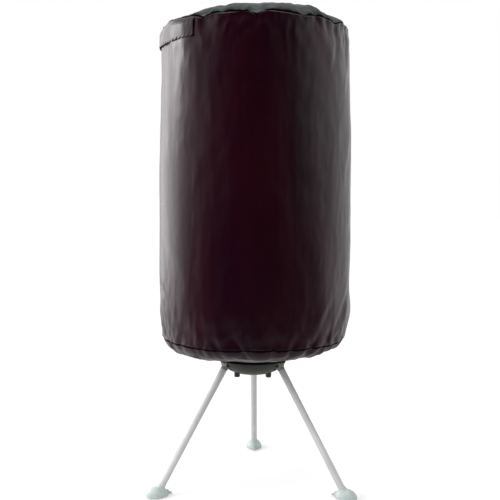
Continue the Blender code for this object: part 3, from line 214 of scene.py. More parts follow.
def patches(made, cloud, colours, rough, low=PATCH_LOW, high=PATCH_HIGH):
    """The shader's colour and roughness, read out of a soft noise."""
    tone = add_node(made, "ShaderNodeValToRGB", {0: cloud})
    for stop, place, colour in zip(tone.color_ramp.elements, (low, high), colours):
        stop.position = place
        stop.color = linear(colour)
    gloss = ranged(made, cloud, PATCH_LOW, PATCH_HIGH, *rough)
    return {"Base Color": tone.outputs["Color"], "Roughness": gloss}


def finish(name, dark, light, rough, patch, grain, relief, stretch=(1.0, 1.0, 1.0), **constants):
    """A material with soft patches of colour and gloss and a fine grain in relief. Patch,
    grain and relief are in metres."""
    made, shader = new_material(name)
    place = add_node(made, "ShaderNodeTexCoord")
    drawn = add_node(made, "ShaderNodeMapping", {"Vector": place.outputs["Object"], "Scale": stretch})
    cloud = clouds(made, drawn.outputs[0], 1 / patch, 2.0)
    texture = add_node(made, "ShaderNodeBump", {
        "Strength": 0.35, "Distance": relief, "Height": clouds(made, drawn.outputs[0], 1 / grain, 2.0),
    })
    add_node(made, shader, {
        **patches(made, cloud, (dark, light), rough), "Normal": texture.outputs[0], **constants,
    })
    return made


def only(piece):
    """Selects one piece and makes it the active one."""
    bpy.ops.object.select_all(action="DESELECT")
    piece.select_set(True)
    bpy.context.view_layer.objects.active = piece


def opened(piece):
    """Puts a piece in edit mode with all of it selected."""
    only(piece)
    bpy.ops.object.mode_set(mode="EDIT")
    bpy.ops.mesh.select_all(action="SELECT")


def apply_modifier(piece, kind, **settings):
    """Adds a modifier to a piece and applies it."""
    only(piece)
    step = piece.modifiers.new(kind.title(), kind)
    for name, value in settings.items():
        setattr(step, name, value)
    bpy.ops.object.modifier_apply(modifier=step.name)


def rounded(piece, width, segments, sharp):
    """Rounds the edges of a piece that are sharper than an angle."""
    apply_modifier(
        piece, "BEVEL", width=width, segments=segments, limit_method="ANGLE", angle_limit=sharp,
        use_clamp_overlap=True,
    )


def done(piece, name, node_name, body, made, smooth):
    """Names and finishes a piece, puts it in its node's place and fixes it to its body."""
    piece.name = name
    piece.data.name = name
    piece.data.materials.clear()
    piece.data.materials.append(made)
    only(piece)
    bpy.ops.object.shade_smooth_by_angle(angle=radians(smooth))
    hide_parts(node_name)
    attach(piece, body)


def moulded(node_name, made, edge, body="stand"):
    """A merged copy of a CAD node with its edges rounded as a tool leaves them, by a width in
    metres. Most of them are on the stand."""
    piece = placed("copy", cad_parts[node_name].data.copy())
    opened(piece)
    bpy.ops.mesh.remove_doubles(threshold=MERGE_WITHIN)
    bpy.ops.mesh.dissolve_limited(angle_limit=FLAT_WITHIN)
    bpy.ops.object.mode_set(mode="OBJECT")
    if edge:
        rounded(piece, edge, 2, SHARP_FROM)
    done(piece, node_name + "_part", node_name, body, made, SMOOTH_UNTIL)


# The tool's spark-eroded texture is about 0.3 mm, drawn at 0.9 mm. It shines softly.
housing_abs = finish(
    "spark-textured ABS, grey-green", "#2F3028", "#3D3E36", rough=(0.40, 0.52), patch=0.03,
    grain=0.0009, relief=0.00012,
)
moulded("lower_housing", housing_abs, 0.0006)
moulded("upper_housing", housing_abs, 0.0005)


# Grille, cord gland and timer: small mouldings in black nylon that snap into the bowl. The
# timer is a clockwork one, and its fluted knob stands out of the bowl's side.
# Its fine grain is drawn at 0.7 mm, and it has a dull and slightly uneven shine.
dark_nylon = finish(
    "glass-filled nylon, black", "#191918", "#242422", rough=(0.42, 0.6), patch=0.02,
    grain=0.0007, relief=0.00008,
)
moulded("intake_grille", dark_nylon, 0.0003)
moulded("cord_gland", dark_nylon, 0.0003)
moulded("timer_body", dark_nylon, 0.0004)
moulded("timer_knob", dark_nylon, 0.0004, "timer")


# Motor, fan and heater: a motor on a three-armed spider turns a moulded fan, which blows
# through a ribbed heating block in a pressed aluminium frame. A cut-out guards the heater.
# Drawn and plated steel is bright, and streaked along its length. Rolled sheet is duller,
# and streaked across.
zinc_steel = finish(
    "zinc-plated steel", "#A9ABAE", "#C9CBCD", rough=(0.24, 0.4), patch=0.02,
    grain=0.0006, relief=0.00002, stretch=(1.0, 1.0, 0.12), Metallic=1.0,
)
heater_sheet = finish(
    "pressed aluminium sheet", "#B9BBBD", "#D2D4D6", rough=(0.34, 0.5), patch=0.02,
    grain=0.0005, relief=0.00002, stretch=(1.0, 0.2, 1.0), Metallic=1.0,
)
moulded("timer_shaft", zinc_steel, 0.0002, "timer")
moulded("motor_spider", dark_nylon, 0.0004)
moulded("fan_motor", zinc_steel, 0.0004)
moulded("fan_shaft", zinc_steel, 0.0002, "fan")
moulded("fan_impeller", dark_nylon, 0.0002, "fan")
moulded("heater_frame", heater_sheet, 0.0003)
moulded("heater_block", heater_sheet, 0.0002)
moulded("thermal_cutout", dark_nylon, 0.0003)


# Leg joints: a forked bracket screwed under each recess holds a knuckle on a steel pin with
# plastic caps. The knuckle's spigot is pressed into the leg tube. Bracket and knuckle have
# the housing's texture in a paler grey.
bracket_abs = finish(
    "spark-textured ABS, mid grey", "#7D7F76", "#8F9187", rough=(0.40, 0.52), patch=0.03,
    grain=0.0009, relief=0.0001,
)
for side in ("rear", "left", "right"):
    moulded(f"leg_bracket_{side}", bracket_abs, 0.0006)
    moulded(f"leg_pin_{side}", dark_nylon, 0.0003)
    moulded(f"leg_knuckle_{side}", bracket_abs, 0.0006, f"leg_{side}")


# Leg tubes: round steel tube of 21 mm, powder coated in silver white. The coat has a fine
# orange peel of about 1 mm, which spreads what it mirrors into a soft sheen.
TUBE_RADIUS = 0.0105
TUBE_WALL = 0.0012
TUBE_SIDES = 48
TUBE_EDGE = 0.0003
# from the pivot down to the tube's top, and from the foot's base up to its end
TUBE_TOP = 0.016
TUBE_LIFT = 0.0132
CUT_EDGE = radians(60.0)
SPLAY = radians(32.0)
pin_low, pin_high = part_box("leg_pin_rear")
PIVOT = Vector((pin_low[0] + pin_high[0], pin_low[1] + pin_high[1], pin_low[2] + pin_high[2])) / 2
PIVOT_RADIUS = PIVOT.y - AXIS.y
LEG_LENGTH = PIVOT.z / cos(SPLAY)
FOOT_BASE = 0.003
TUBE_END = LEG_LENGTH - FOOT_BASE / cos(SPLAY) - TUBE_LIFT
LEG_BEARINGS = (
    ("rear", radians(90.0)), ("left", radians(210.0)), ("right", radians(330.0)),
)
powder_coat = finish(
    "powder coat, silver white", "#D9D9D9", "#E3E3E3", rough=(0.46, 0.58), patch=0.06,
    grain=0.0012, relief=0.00006, **{"Specular IOR Level": 0.3},
)


def leg_frame(bearing):
    """The leg's frame at its pivot: Z up along the tube, X outwards."""
    return (
        Matrix.Translation(AXIS) @ Matrix.Rotation(bearing, 4, "Z")
        @ Matrix.Translation((PIVOT_RADIUS, 0.0, PIVOT.z)) @ Matrix.Rotation(-SPLAY, 4, "Y")
    )


for side, bearing in LEG_BEARINGS:
    bpy.ops.mesh.primitive_cylinder_add(
        vertices=TUBE_SIDES, radius=TUBE_RADIUS, depth=TUBE_END - TUBE_TOP, end_fill_type="NOTHING",
        location=(0.0, 0.0, -(TUBE_END + TUBE_TOP) / 2),
    )
    tube = bpy.context.object
    bpy.ops.object.transform_apply()
    apply_modifier(tube, "SOLIDIFY", thickness=TUBE_WALL, offset=-1.0)
    rounded(tube, TUBE_EDGE, 2, CUT_EDGE)
    tube.data.transform(leg_frame(bearing))
    done(
        tube, f"leg_{side}_coated_tube", f"leg_tube_{side}", f"leg_{side}", powder_coat,
        SMOOTH_LEG,
    )


# Feet: one polypropylene moulding each, pale green white. A dome with a sleeve for the tube
# and a tab behind it stands on a moulded rubber sole. The foot is glossy and slightly uneven,
# and the sole is matt.
FOOT_LENGTH = 0.071
FOOT_NOSE = 0.031
FOOT_WIDTH = 0.055
FOOT_HEIGHT = 0.031
# along the leg from the foot's middle
SLEEVE_LOW, SLEEVE_LOW_RADIUS = 0.004, 0.0192
SLEEVE_HIGH, SLEEVE_HIGH_RADIUS = 0.0365, 0.0121
TAB_HALF, TAB_SIDE, TAB_TOP = 0.011, 0.006, 0.0085
RIB_BACK, RIB_FRONT, RIB_SIDE, RIB_TOP = 0.001, 0.003, 0.005, 0.0165
VOXEL = 0.0009
SOFTENING = 9
BORE_GAP = 0.0003
BORE_END = 0.09
ROUND_SIDES = 64
SOLE_LENGTH, SOLE_WIDTH, SOLE_HEIGHT = 0.040, 0.034, 0.0027
SOLE_EDGE = 0.0006
foot_middle = FOOT_NOSE - FOOT_LENGTH / 2
tab_middle = foot_middle - FOOT_LENGTH / 2
foot_plastic = finish(
    "polypropylene, pale green white", "#C6D5D1", "#D2DEDB", rough=(0.22, 0.32), patch=0.03,
    grain=0.0012, relief=0.00003,
)
sole_rubber = finish(
    "moulded rubber, charcoal", "#222323", "#343535", rough=(0.7, 0.9), patch=0.01,
    grain=0.0008, relief=0.0001,
)


def along_leg(reach):
    """A point on the leg's line, in a foot's own frame."""
    return (-reach * sin(SPLAY), 0.0, reach * cos(SPLAY))


def cut_flat(piece):
    """Cuts a foot off flat where the sole begins."""
    opened(piece)
    bpy.ops.mesh.bisect(
        plane_co=(0.0, 0.0, FOOT_BASE), plane_no=(0.0, 0.0, 1.0), clear_inner=True, use_fill=True,
    )
    bpy.ops.object.mode_set(mode="OBJECT")


bpy.ops.mesh.primitive_uv_sphere_add(
    segments=72, ring_count=36, radius=1.0, location=(foot_middle, 0.0, FOOT_BASE),
    scale=(FOOT_LENGTH / 2, FOOT_WIDTH / 2, FOOT_HEIGHT - FOOT_BASE),
)
foot_master = bpy.context.object
bpy.ops.object.transform_apply()
cut_flat(foot_master)
foot_parts = [foot_master]
bpy.ops.mesh.primitive_cone_add(
    vertices=ROUND_SIDES, radius1=SLEEVE_LOW_RADIUS, radius2=SLEEVE_HIGH_RADIUS,
    depth=SLEEVE_HIGH - SLEEVE_LOW, location=along_leg((SLEEVE_LOW + SLEEVE_HIGH) / 2),
    rotation=(0.0, -SPLAY, 0.0),
)
foot_parts.append(bpy.context.object)
for low, high in (
    ((tab_middle - TAB_HALF, -TAB_SIDE, FOOT_BASE), (tab_middle + TAB_HALF, TAB_SIDE, TAB_TOP)),
    ((tab_middle - RIB_BACK, -RIB_SIDE, FOOT_BASE), (tab_middle + RIB_FRONT, RIB_SIDE, RIB_TOP)),
):
    bpy.ops.mesh.primitive_cube_add(
        size=1.0, location=[(a + b) / 2 for a, b in zip(low, high)],
        scale=[b - a for a, b in zip(low, high)],
    )
    foot_parts.append(bpy.context.object)
bpy.ops.object.select_all(action="DESELECT")
for part in foot_parts:
    part.select_set(True)
bpy.context.view_layer.objects.active = foot_master
bpy.ops.object.transform_apply()
bpy.ops.object.join()
foot_master.data.remesh_voxel_size = VOXEL
bpy.ops.object.voxel_remesh()
apply_modifier(foot_master, "SMOOTH", factor=0.5, iterations=SOFTENING)
cut_flat(foot_master)
bore_from = LEG_LENGTH - TUBE_END - BORE_GAP
bpy.ops.mesh.primitive_cylinder_add(
    vertices=ROUND_SIDES, radius=TUBE_RADIUS + BORE_GAP, depth=BORE_END - bore_from,
    rotation=(0.0, -SPLAY, 0.0), location=along_leg((bore_from + BORE_END) / 2),
)
bore = bpy.context.object
apply_modifier(foot_master, "BOOLEAN", operation="DIFFERENCE", object=bore, solver="EXACT")
bpy.data.objects.remove(bore)

bpy.ops.mesh.primitive_cylinder_add(
    vertices=ROUND_SIDES, radius=0.5, depth=SOLE_HEIGHT, location=(0.0, 0.0, SOLE_HEIGHT / 2),
    scale=(SOLE_LENGTH, SOLE_WIDTH, 1.0),
)
sole_master = bpy.context.object
bpy.ops.object.transform_apply()
rounded(sole_master, SOLE_EDGE, 3, CUT_EDGE)
for side, bearing in LEG_BEARINGS:
    stand_place = (
        Matrix.Translation(AXIS) @ Matrix.Rotation(bearing, 4, "Z")
        @ Matrix.Translation((PIVOT_RADIUS + PIVOT.z * tan(SPLAY), 0.0, 0.0))
    )
    for master, name, slot, made, node_name in (
        (foot_master, "domed_foot", "foot_plastic", foot_plastic, "foot"),
        (sole_master, "rubber_sole", "sole_rubber", sole_rubber, "foot_sole"),
    ):
        copy = placed(name, master.data.copy())
        copy.data.transform(stand_place)
        done(copy, f"{name}_{side}", f"{node_name}_{side}", f"leg_{side}", made, SMOOTH_LEG)
bpy.data.objects.remove(foot_master)
bpy.data.objects.remove(sole_master)


# Pole: two zinc-plated steel tubes, the upper one slid into the lower and held by a moulded
# collar.
moulded("pole_lower", zinc_steel, 0.0003)
moulded("pole_upper", zinc_steel, 0.0003)
moulded("pole_collar", dark_nylon, 0.0004)


# Hanger: six arms hinge on a wire ring that is clamped between a slotted hub and its crown.
# All are off-white polypropylene, plain and softly shining, and the wire is bright steel.
ARMS = 6
arm_plastic = finish(
    "polypropylene, off-white", "#D5D4D0", "#E0DFDB", rough=(0.34, 0.46), patch=0.05,
    grain=0.001, relief=0.00005,
)
moulded("hub_base", arm_plastic, 0.0004)
moulded("hub_crown", arm_plastic, 0.0004)
moulded("hub_wire", zinc_steel, 0.0)
for number in range(1, ARMS + 1):
    moulded(f"hanger_arm_{number}", arm_plastic, 0.0006, f"arm_{number}")


# Hoops: two rings of 4 mm zinc-plated spring wire in the seams, which hold the bag round.
# They are bent from the same bright wire as the hub's.
moulded("hoop_top", zinc_steel, 0.0)
moulded("hoop_bottom", zinc_steel, 0.0)


# Bag side: one length of proofed nylon, sewn to the top and bottom panels round wire
# hoops. The seams gather it, so it hangs in soft upright folds with puckers at both ends.
SEAM_RADIUS = 0.2865
SEAM_GIRTH = 2 * pi * SEAM_RADIUS
CLOTH = 0.0004
BULGE = 0.014
LOW_SEAM, HIGH_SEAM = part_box("bag_side")[0][2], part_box("bag_side")[1][2]
SEAM_HEIGHT = HIGH_SEAM - LOW_SEAM
hoop_low, hoop_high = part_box("hoop_top")
HOOP_RADIUS = (hoop_high[0] - hoop_low[0]) / 2
HOOP_TOP = (hoop_low[2] + hoop_high[2]) / 2
hoop_low, hoop_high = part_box("hoop_bottom")
HOOP_LOW = (hoop_low[2] + hoop_high[2]) / 2
# within this of a hoop's height the cloth clears it by the gap, and a bit further off it may
# be this much nearer the pole
HOOP_NEAR, HOOP_SOON = 0.004, 1.6
HOOP_GAP, HOOP_FREE = 0.0007, 0.02
AROUND = 480
# how far down the side, and how much of the bulge is reached there
BULGE_SHARES = (
    (0.000, 0.000), (0.030, 0.26), (0.061, 0.43), (0.140, 0.60), (0.230, 0.72), (0.440, 0.965),
    (0.650, 1.000), (0.800, 0.93), (0.900, 0.80), (0.955, 0.50), (0.980, 0.26), (1.000, 0.000),
)
BULGE_STEPS = (-0.02, -0.01, 0.0, 0.01, 0.02)
BULGE_END = 0.02
# distances of the rows of points from a seam, close together where the cloth puckers
NEAR_SEAM = (
    0.0, 0.0016, 0.0026, 0.0038, 0.0053, 0.0075, 0.011, 0.015, 0.020, 0.026, 0.033, 0.041, 0.050,
    0.060, 0.071, 0.083,
)
MIDDLE_FROM, MIDDLE_ROWS = 0.096, 62
# heights, and how far the bag hangs to the right of its pole there
BAG_SHIFT = ((0.48, 0.0), (0.60, 0.003), (0.80, 0.0045), (1.10, 0.004), (1.34, 0.0))
# how each seam rises and falls: height, waves round the bag and phase
TOP_LIFT = 0.0035
TOP_WAVES = ((0.0022, 5, 1.1), (0.0012, 11, 0.4))
LOW_WAVES = ((0.0012, 4, 0.7), (0.0009, 9, 2.0))
# azimuth in degrees from the front, dip in metres, half width in degrees
TOP_DIPS = (
    (-29.6, 0.009, 4.0), (2.1, 0.013, 3.2), (30.0, 0.003, 5.0), (55.5, 0.008, 5.0),
    (75.0, 0.005, 7.0), (-70.0, 0.004, 8.0), (104.0, 0.007, 5.0), (133.0, 0.004, 6.0),
    (166.0, 0.010, 4.0), (-152.0, 0.006, 5.0), (-118.0, 0.005, 6.0), (-82.0, 0.008, 21.0),
)
# the most that the cloth's radius may be at some heights behind the zip tape and its slider,
# which lie behind these two azimuths
ZIP_ROOM = (
    (1.352, 0.3000), (1.362, 0.2930), (1.373, 0.2908), (1.383, 0.2898), (1.399, 0.2882),
    (1.410, 0.2900),
)
ZIP_ENDS = (-34.5, 138.0)
ZIP_EASE, ZIP_EASE_DEPTH = 1.5, 0.004
# the gathers that the machine leaves: spread of their places, and ranges of the rest
SPOT_SPREAD = 0.035
DEPTHS, WIDTHS, LENGTHS, SLANT = (0.0010, 0.0040), (0.0045, 0.009), (0.012, 0.045), 0.35
rng = np.random.default_rng(11)


def wrapped(angle):
    """An angle brought between half a turn each way."""
    return (angle + pi) % (2 * pi) - pi


def bell(distance, spread):
    """1 in the middle, fading to nothing on both sides."""
    return np.exp(-(distance / spread) ** 2)


def grown(reach, over):
    """0 at a seam, growing to 1 away from it."""
    return 1 - np.exp(-reach / over)


def eased(value, start, end):
    """0 before the start and 1 past the end, with a soft step between."""
    share = np.clip((value - start) / (end - start), 0.0, 1.0)
    return share * share * (3 - 2 * share)


def read_shares(shares, at, steps=(0.0,)):
    """A table of shares read at each place, averaged over small steps to round its corners."""
    places, values = np.transpose(sorted(shares))
    return sum(np.interp(at + step, places, values) for step in steps) / len(steps)


def waved(angle, waves):
    return sum(height * np.sin(count * angle + phase) for height, count, phase in waves)


def top_seam(angle):
    """The top seam's height round the bag. It dips where the cloth is gathered."""
    height = HIGH_SEAM + TOP_LIFT + waved(angle, TOP_WAVES)
    for at, dip, spread in TOP_DIPS:
        height -= dip * bell(wrapped(angle - radians(at)), radians(spread))
    return height


def low_seam(angle):
    return LOW_SEAM + waved(angle, LOW_WAVES)


def gathers(count, named):
    """Puckers round a seam: azimuth, depth, half width, length down the cloth and slant.
    The named ones stand where the photograph shows them, with azimuths in degrees."""
    spots = np.linspace(-pi, pi, count, endpoint=False) + rng.normal(0.0, SPOT_SPREAD, count)
    rows = [
        (spot, rng.uniform(*DEPTHS), rng.uniform(*WIDTHS), rng.uniform(*LENGTHS), rng.normal(0.0, SLANT))
        for spot in spots
    ]
    return rows + [(radians(at), *rest) for at, *rest in named]


top_puckers = gathers(64, (
    (-29.0, 0.0050, 0.010, 0.035, 0.2), (-22.0, 0.0030, 0.007, 0.022, -0.3),
    (-5.0, 0.0035, 0.008, 0.040, 0.3), (2.1, 0.0060, 0.009, 0.045, 0.0),
    (9.0, 0.0035, 0.008, 0.038, -0.3), (28.0, 0.0030, 0.008, 0.035, 0.1),
    (38.0, 0.0040, 0.009, 0.055, 0.1), (47.0, 0.0045, 0.009, 0.070, -0.1),
    (55.5, 0.0065, 0.012, 0.075, 0.15), (63.0, 0.0050, 0.010, 0.060, 0.2),
    (71.0, 0.0045, 0.010, 0.065, -0.1),
))
low_puckers = gathers(58, (
    (-62.0, 0.0045, 0.011, 0.060, -0.6), (-48.0, 0.0040, 0.010, 0.050, 0.5),
    (-30.0, 0.0030, 0.009, 0.040, 0.2), (-20.0, 0.0030, 0.009, 0.045, -0.3),
    (-4.0, 0.0030, 0.009, 0.050, 0.4), (12.0, 0.0035, 0.010, 0.055, -0.5),
    (24.0, 0.0040, 0.010, 0.060, 0.4), (36.0, 0.0045, 0.011, 0.075, 0.8),
    (47.0, 0.0050, 0.012, 0.080, 0.6), (58.0, 0.0050, 0.012, 0.075, 0.4),
    (70.0, 0.0045, 0.012, 0.060, 0.3),
))


# a pucker fans out along its length, and starts this far from its seam
PUCKER_FAN, PUCKER_FROM = 1.2, 0.002


def pucker_depth(angle, reach, puckers, radius=SEAM_RADIUS):
    """How far the gathers pull the cloth in, at a distance from their seam."""
    depth = np.zeros_like(angle)
    for at, deep, width, length, slant in puckers:
        across = wrapped(angle - at) * radius - slant * reach
        depth += deep * bell(across, width * (1 + PUCKER_FAN * reach / length)) * np.exp(-reach / length)
    return depth * grown(reach, PUCKER_FROM)


# the stitches pull the cloth into a groove, and it stands up beside them
GROOVE, GROOVE_WIDTH = 0.0018, 0.0022
SWELL, SWELL_FROM = 0.0030, 0.0018


def seam_groove(reach):
    return GROOVE * bell(reach, GROOVE_WIDTH)


def seam_swell(reach, height, fall):
    return height * np.exp(-reach / fall) * grown(reach, SWELL_FROM)


def hoop_clearance(height):
    """The least radius at which the cloth stays outside both hoops."""
    away = np.minimum(np.abs(height - HOOP_TOP), np.abs(height - HOOP_LOW))
    near = np.clip(HOOP_SOON - away / HOOP_NEAR, 0.0, 1.0)
    return HOOP_RADIUS + HOOP_GAP - HOOP_FREE * (1 - near)


# long creases: azimuth and height of both ends, depth and half width
CREASES = (
    (-75, 0.56, -57, 0.50, 0.0028, 0.011), (-66, 0.63, -52, 0.535, 0.0022, 0.010),
    (-80, 0.66, -62, 0.60, 0.0022, 0.012), (52, 0.50, 72, 0.60, 0.0030, 0.012),
    (40, 0.52, 55, 0.62, 0.0022, 0.011), (60, 0.55, 84, 0.68, 0.0025, 0.013),
    (70, 0.78, 84, 0.92, 0.0018, 0.014), (64, 0.95, 80, 1.10, 0.0016, 0.015),
    (-84, 0.86, -70, 1.02, 0.0018, 0.016), (66, 1.20, 82, 1.33, 0.0020, 0.013),
    (50, 1.26, 58, 1.37, 0.0020, 0.011), (-12, 1.33, 0, 1.40, 0.0018, 0.010),
    (120, 0.52, 142, 0.64, 0.0028, 0.013), (160, 0.55, 178, 0.50, 0.0024, 0.012),
    (-150, 0.52, -130, 0.62, 0.0026, 0.013), (-110, 0.54, -98, 0.66, 0.0024, 0.012),
    (100, 1.22, 116, 1.35, 0.0022, 0.013), (150, 1.18, 156, 1.34, 0.0020, 0.013),
)


# the ridge beside a furrow: its share of the depth, and its distance in half widths. A crease
# fades in over this share of its length.
RIDGE_SHARE, RIDGE_OFF, CREASE_FADE = 0.45, 1.6, 0.35


def crease_depth(angle, height):
    """Furrows along the creases, each with a softer ridge beside it."""
    depth = np.zeros_like(angle)
    for a0, z0, a1, z1, deep, width in CREASES:
        start = np.array((radians(a0) * SEAM_RADIUS, z0))
        run = np.array((radians(a1) * SEAM_RADIUS, z1)) - start
        length = np.hypot(*run)
        middle = radians((a0 + a1) / 2)
        px = (wrapped(angle - middle) + middle) * SEAM_RADIUS - start[0]
        pz = height - start[1]
        along = (px * run[0] + pz * run[1]) / length
        off = (px * -run[1] + pz * run[0]) / length
        taper = eased(np.minimum(along, length - along), 0.0, length * CREASE_FADE)
        ridge = RIDGE_SHARE * bell(off - RIDGE_OFF * width, width)
        depth += deep * taper * (bell(off, width) - ridge)
    return depth


# a creased noise's height on its ridges, and how sharp they are
RIDGE_TOP, RIDGE_SHARP = 0.35, 2.2


def noise_height(grid, soft=(), creased=()):
    """The sum of some noises at each point of a grid. A layer is its scales, height and seed,
    and a creased one has sharp ridges, like cloth that was folded away."""
    points = grid.reshape(-1, 3)
    total = np.zeros(len(points))
    for sharp, layers in ((False, soft), (True, creased)):
        for (sx, sy, sz), amount, seed in layers:
            value = np.array([noise.noise(Vector((x * sx, y * sy, z * sz + seed))) for x, y, z in points])
            if sharp:
                value = RIDGE_TOP - np.minimum(np.abs(value) * RIDGE_SHARP, 1.0)
            total += amount * value
    return total.reshape(grid.shape[:-1])


def sewn_sheet(name, angle, radius, height, width, reach, closed=True, pole=None):
    """A cloth piece from rows of points, with a UV map in metres of cloth."""
    rows, columns = radius.shape
    spans = columns if closed else columns - 1
    places = round_points(angle, radius, height).reshape(-1, 3).tolist()
    faces = []
    corners = []
    for row in range(rows - 1):
        for column in range(spans):
            right = (column + 1) % columns
            faces.append((row * columns + column, row * columns + right,
                          (row + 1) * columns + right, (row + 1) * columns + column))
            u0, u1 = width * column / spans, width * (column + 1) / spans
            v0, v1 = reach[row], reach[row + 1]
            corners += [(u0, v0), (u1, v0), (u1, v1), (u0, v1)]
    if pole is not None:
        last = (rows - 1) * columns
        places.append(pole)
        for column in range(columns):
            faces.append((last + column, last + (column + 1) % columns, len(places) - 1))
            u0, u1 = width * column / spans, width * (column + 1) / spans
            corners += [(u0, reach[-1]), (u1, reach[-1]), ((u0 + u1) / 2, reach[-1])]
    mesh = bpy.data.meshes.new(name)
    mesh.from_pydata(places, [], faces)
    layer = mesh.uv_layers.new(name="cloth")
    layer.data.foreach_set("uv", [value for corner in corners for value in corner])
    mesh.shade_smooth()
    return placed(name, mesh)


def mark_seam_thread_and_shade(piece, first_rows, last_rows):
    """Gives the rows of faces beside a seam the second material: its thread, with the seam's shade painted
    in.
    """
    rows = len(piece.data.polygons) // AROUND
    for face in piece.data.polygons:
        row = face.index // AROUND
        if row < first_rows or rows - row <= last_rows:
            face.material_index = 1


def round_points(angle, radius, height):
    """Points round the pole. Below its top hoop the bag hangs a little to the right of it."""
    shift = np.interp(height, *np.transpose(BAG_SHIFT))
    return np.stack((
        AXIS.x + shift + radius * np.sin(angle), AXIS.y - radius * np.cos(angle), height,
    ), axis=-1)


# broad hollows and swells: azimuth and half width in radians, height, half height and depth
SIDE_SWELLS = ((-1.45, 0.75, 1.27, 0.13, -0.006), (1.5, 0.7, 0.55, 0.055, 0.008))
DRAPE = (
    ((7.0, 7.0, 1.6), 0.0025, 3.0), ((11.0, 11.0, 6.0), 0.0018, 41.0),
    ((19.0, 19.0, 4.5), 0.0009, 9.0), ((46.0, 46.0, 12.0), 0.0005, 21.0),
)
CRUMPLES = (((14.0, 14.0, 9.0), 0.0046, 71.0), ((33.0, 33.0, 20.0), 0.0022, 83.0))
# how far the swell falls off below the top seam and above the bottom one, how far the seams
# hold the folds back, and how much of the crumples is left between the two ends
TOP_FALL, LOW_FALL = 0.020, 0.024
SEAM_HOLD = 0.018
MIDDLE_CRUMPLE, TOP_CRUMPLE = 0.18, 0.9
TOP_END, LOW_END = 0.075, 0.080
middle_rows = np.linspace(MIDDLE_FROM, SEAM_HEIGHT - MIDDLE_FROM, MIDDLE_ROWS)
high_rows = [SEAM_HEIGHT - reach for reach in reversed(NEAR_SEAM)]
row_places = np.array([*NEAR_SEAM, *middle_rows, *high_rows]) / SEAM_HEIGHT
angles = np.linspace(0.0, 2 * pi, AROUND, endpoint=False)
angle_grid, place_grid = np.meshgrid(angles, row_places)
bottom_line, top_line = low_seam(angle_grid), top_seam(angle_grid)
heights = bottom_line + (top_line - bottom_line) * place_grid
drop = 1.0 - place_grid
from_top = top_line - heights
from_low = heights - bottom_line
bulge = read_shares(BULGE_SHARES, drop, BULGE_STEPS)
bulge *= np.clip(np.minimum(drop, 1 - drop) / BULGE_END, 0.0, 1.0) ** 0.5
radius = SEAM_RADIUS + BULGE * bulge - seam_groove(from_top) - seam_groove(from_low)
radius += seam_swell(from_top, SWELL, TOP_FALL) + seam_swell(from_low, SWELL, LOW_FALL)
radius -= pucker_depth(angle_grid, from_top, top_puckers)
radius -= pucker_depth(angle_grid, from_low, low_puckers)
radius -= crease_depth(angle_grid, heights)
for at, spread, height, reach, swell in SIDE_SWELLS:
    radius += swell * bell(wrapped(angle_grid - at), spread) * bell(heights - height, reach)
radius = np.maximum(radius, hoop_clearance(heights))
smooth_side = round_points(angle_grid, radius, heights)
loose = grown(from_top, SEAM_HOLD) * grown(from_low, SEAM_HOLD)
near_ends = MIDDLE_CRUMPLE + bell(from_low, LOW_END) + TOP_CRUMPLE * bell(from_top, TOP_END)
radius += noise_height(smooth_side, DRAPE) * loose
radius += noise_height(smooth_side, creased=CRUMPLES) * near_ends * loose
bearing = np.degrees(wrapped(angle_grid))
behind_zip = np.clip(np.maximum(ZIP_ENDS[0] - bearing, bearing - ZIP_ENDS[1]) / ZIP_EASE, 0.0, 1.0)
zip_room = np.interp(heights, *np.transpose(ZIP_ROOM)) + ZIP_EASE_DEPTH * (1 - behind_zip)
radius = np.where(behind_zip > 0, np.minimum(radius, zip_room), radius)
bag_side = sewn_sheet("nylon_side", angle_grid, radius, heights, SEAM_GIRTH, row_places * SEAM_HEIGHT)
mark_seam_thread_and_shade(bag_side, first_rows=2, last_rows=1)

# The nylon is a plain taffeta with a soft proofing: a very dark plum, dull face on, that
# turns silvery grey where the light grazes it. Threads are 0.25 mm apart, drawn at 0.9 mm.
THREAD_PITCH = 0.0009


def proofed_nylon(name, dark, light, sheen, sheen_tint, specular, roughness):
    """Proofed cloth: a weave in relief, patches of colour and gloss that are drawn out down
    the bag, and a fine crumple."""
    made, shader = new_material(name)
    cloth = add_node(made, "ShaderNodeUVMap", uv_map="cloth")
    place = add_node(made, "ShaderNodeTexCoord")
    stretched = add_node(made, "ShaderNodeMapping", {
        "Vector": place.outputs["Object"], "Scale": (1.0, 1.0, 0.3),
    })
    cloud = clouds(made, stretched.outputs[0], 5.0, 3.0)
    warp, weft = [
        add_node(made, "ShaderNodeTexWave", {
            "Vector": cloth.outputs[0], "Scale": pi / (10 * THREAD_PITCH), "Distortion": 0.4,
        }, bands_direction=direction)
        for direction in ("X", "Y")
    ]
    weave = add_node(made, "ShaderNodeBump", {
        "Strength": 0.25, "Distance": 0.00008,
        "Height": computed(made, "ADD", warp.outputs["Fac"], weft.outputs["Fac"]),
    })
    crumple = add_node(made, "ShaderNodeBump", {
        "Strength": 0.5, "Distance": 0.0012, "Normal": weave.outputs[0],
        "Height": clouds(made, stretched.outputs[0], 45.0, 3.0),
    })
    add_node(made, shader, {
        **patches(made, cloud, (dark, light), (roughness - 0.04, roughness + 0.06), 0.32, 0.68),
        "Normal": crumple.outputs[0], "Specular IOR Level": specular, "Sheen Weight": sheen,
        "Sheen Roughness": 0.28, "Sheen Tint": linear(sheen_tint),
    })
    return made


plum_nylon = proofed_nylon(
    "proofed nylon taffeta, dark plum", "#180012", "#2C0010", sheen=0.02, sheen_tint="#C9C2C8",
    specular=0.41, roughness=0.29,
)
# The seam's rows are painted near black with little gloss: the thread in its groove, with the groove's
# shade painted in, draws a dark line.
seam_thread_painted_shade = finish(
    "seam line, black thread and painted shade", "#080507", "#120C0F", rough=(0.85, 0.95), patch=0.004,
    grain=0.0008, relief=0.0001, **{"Specular IOR Level": 0.06},
)


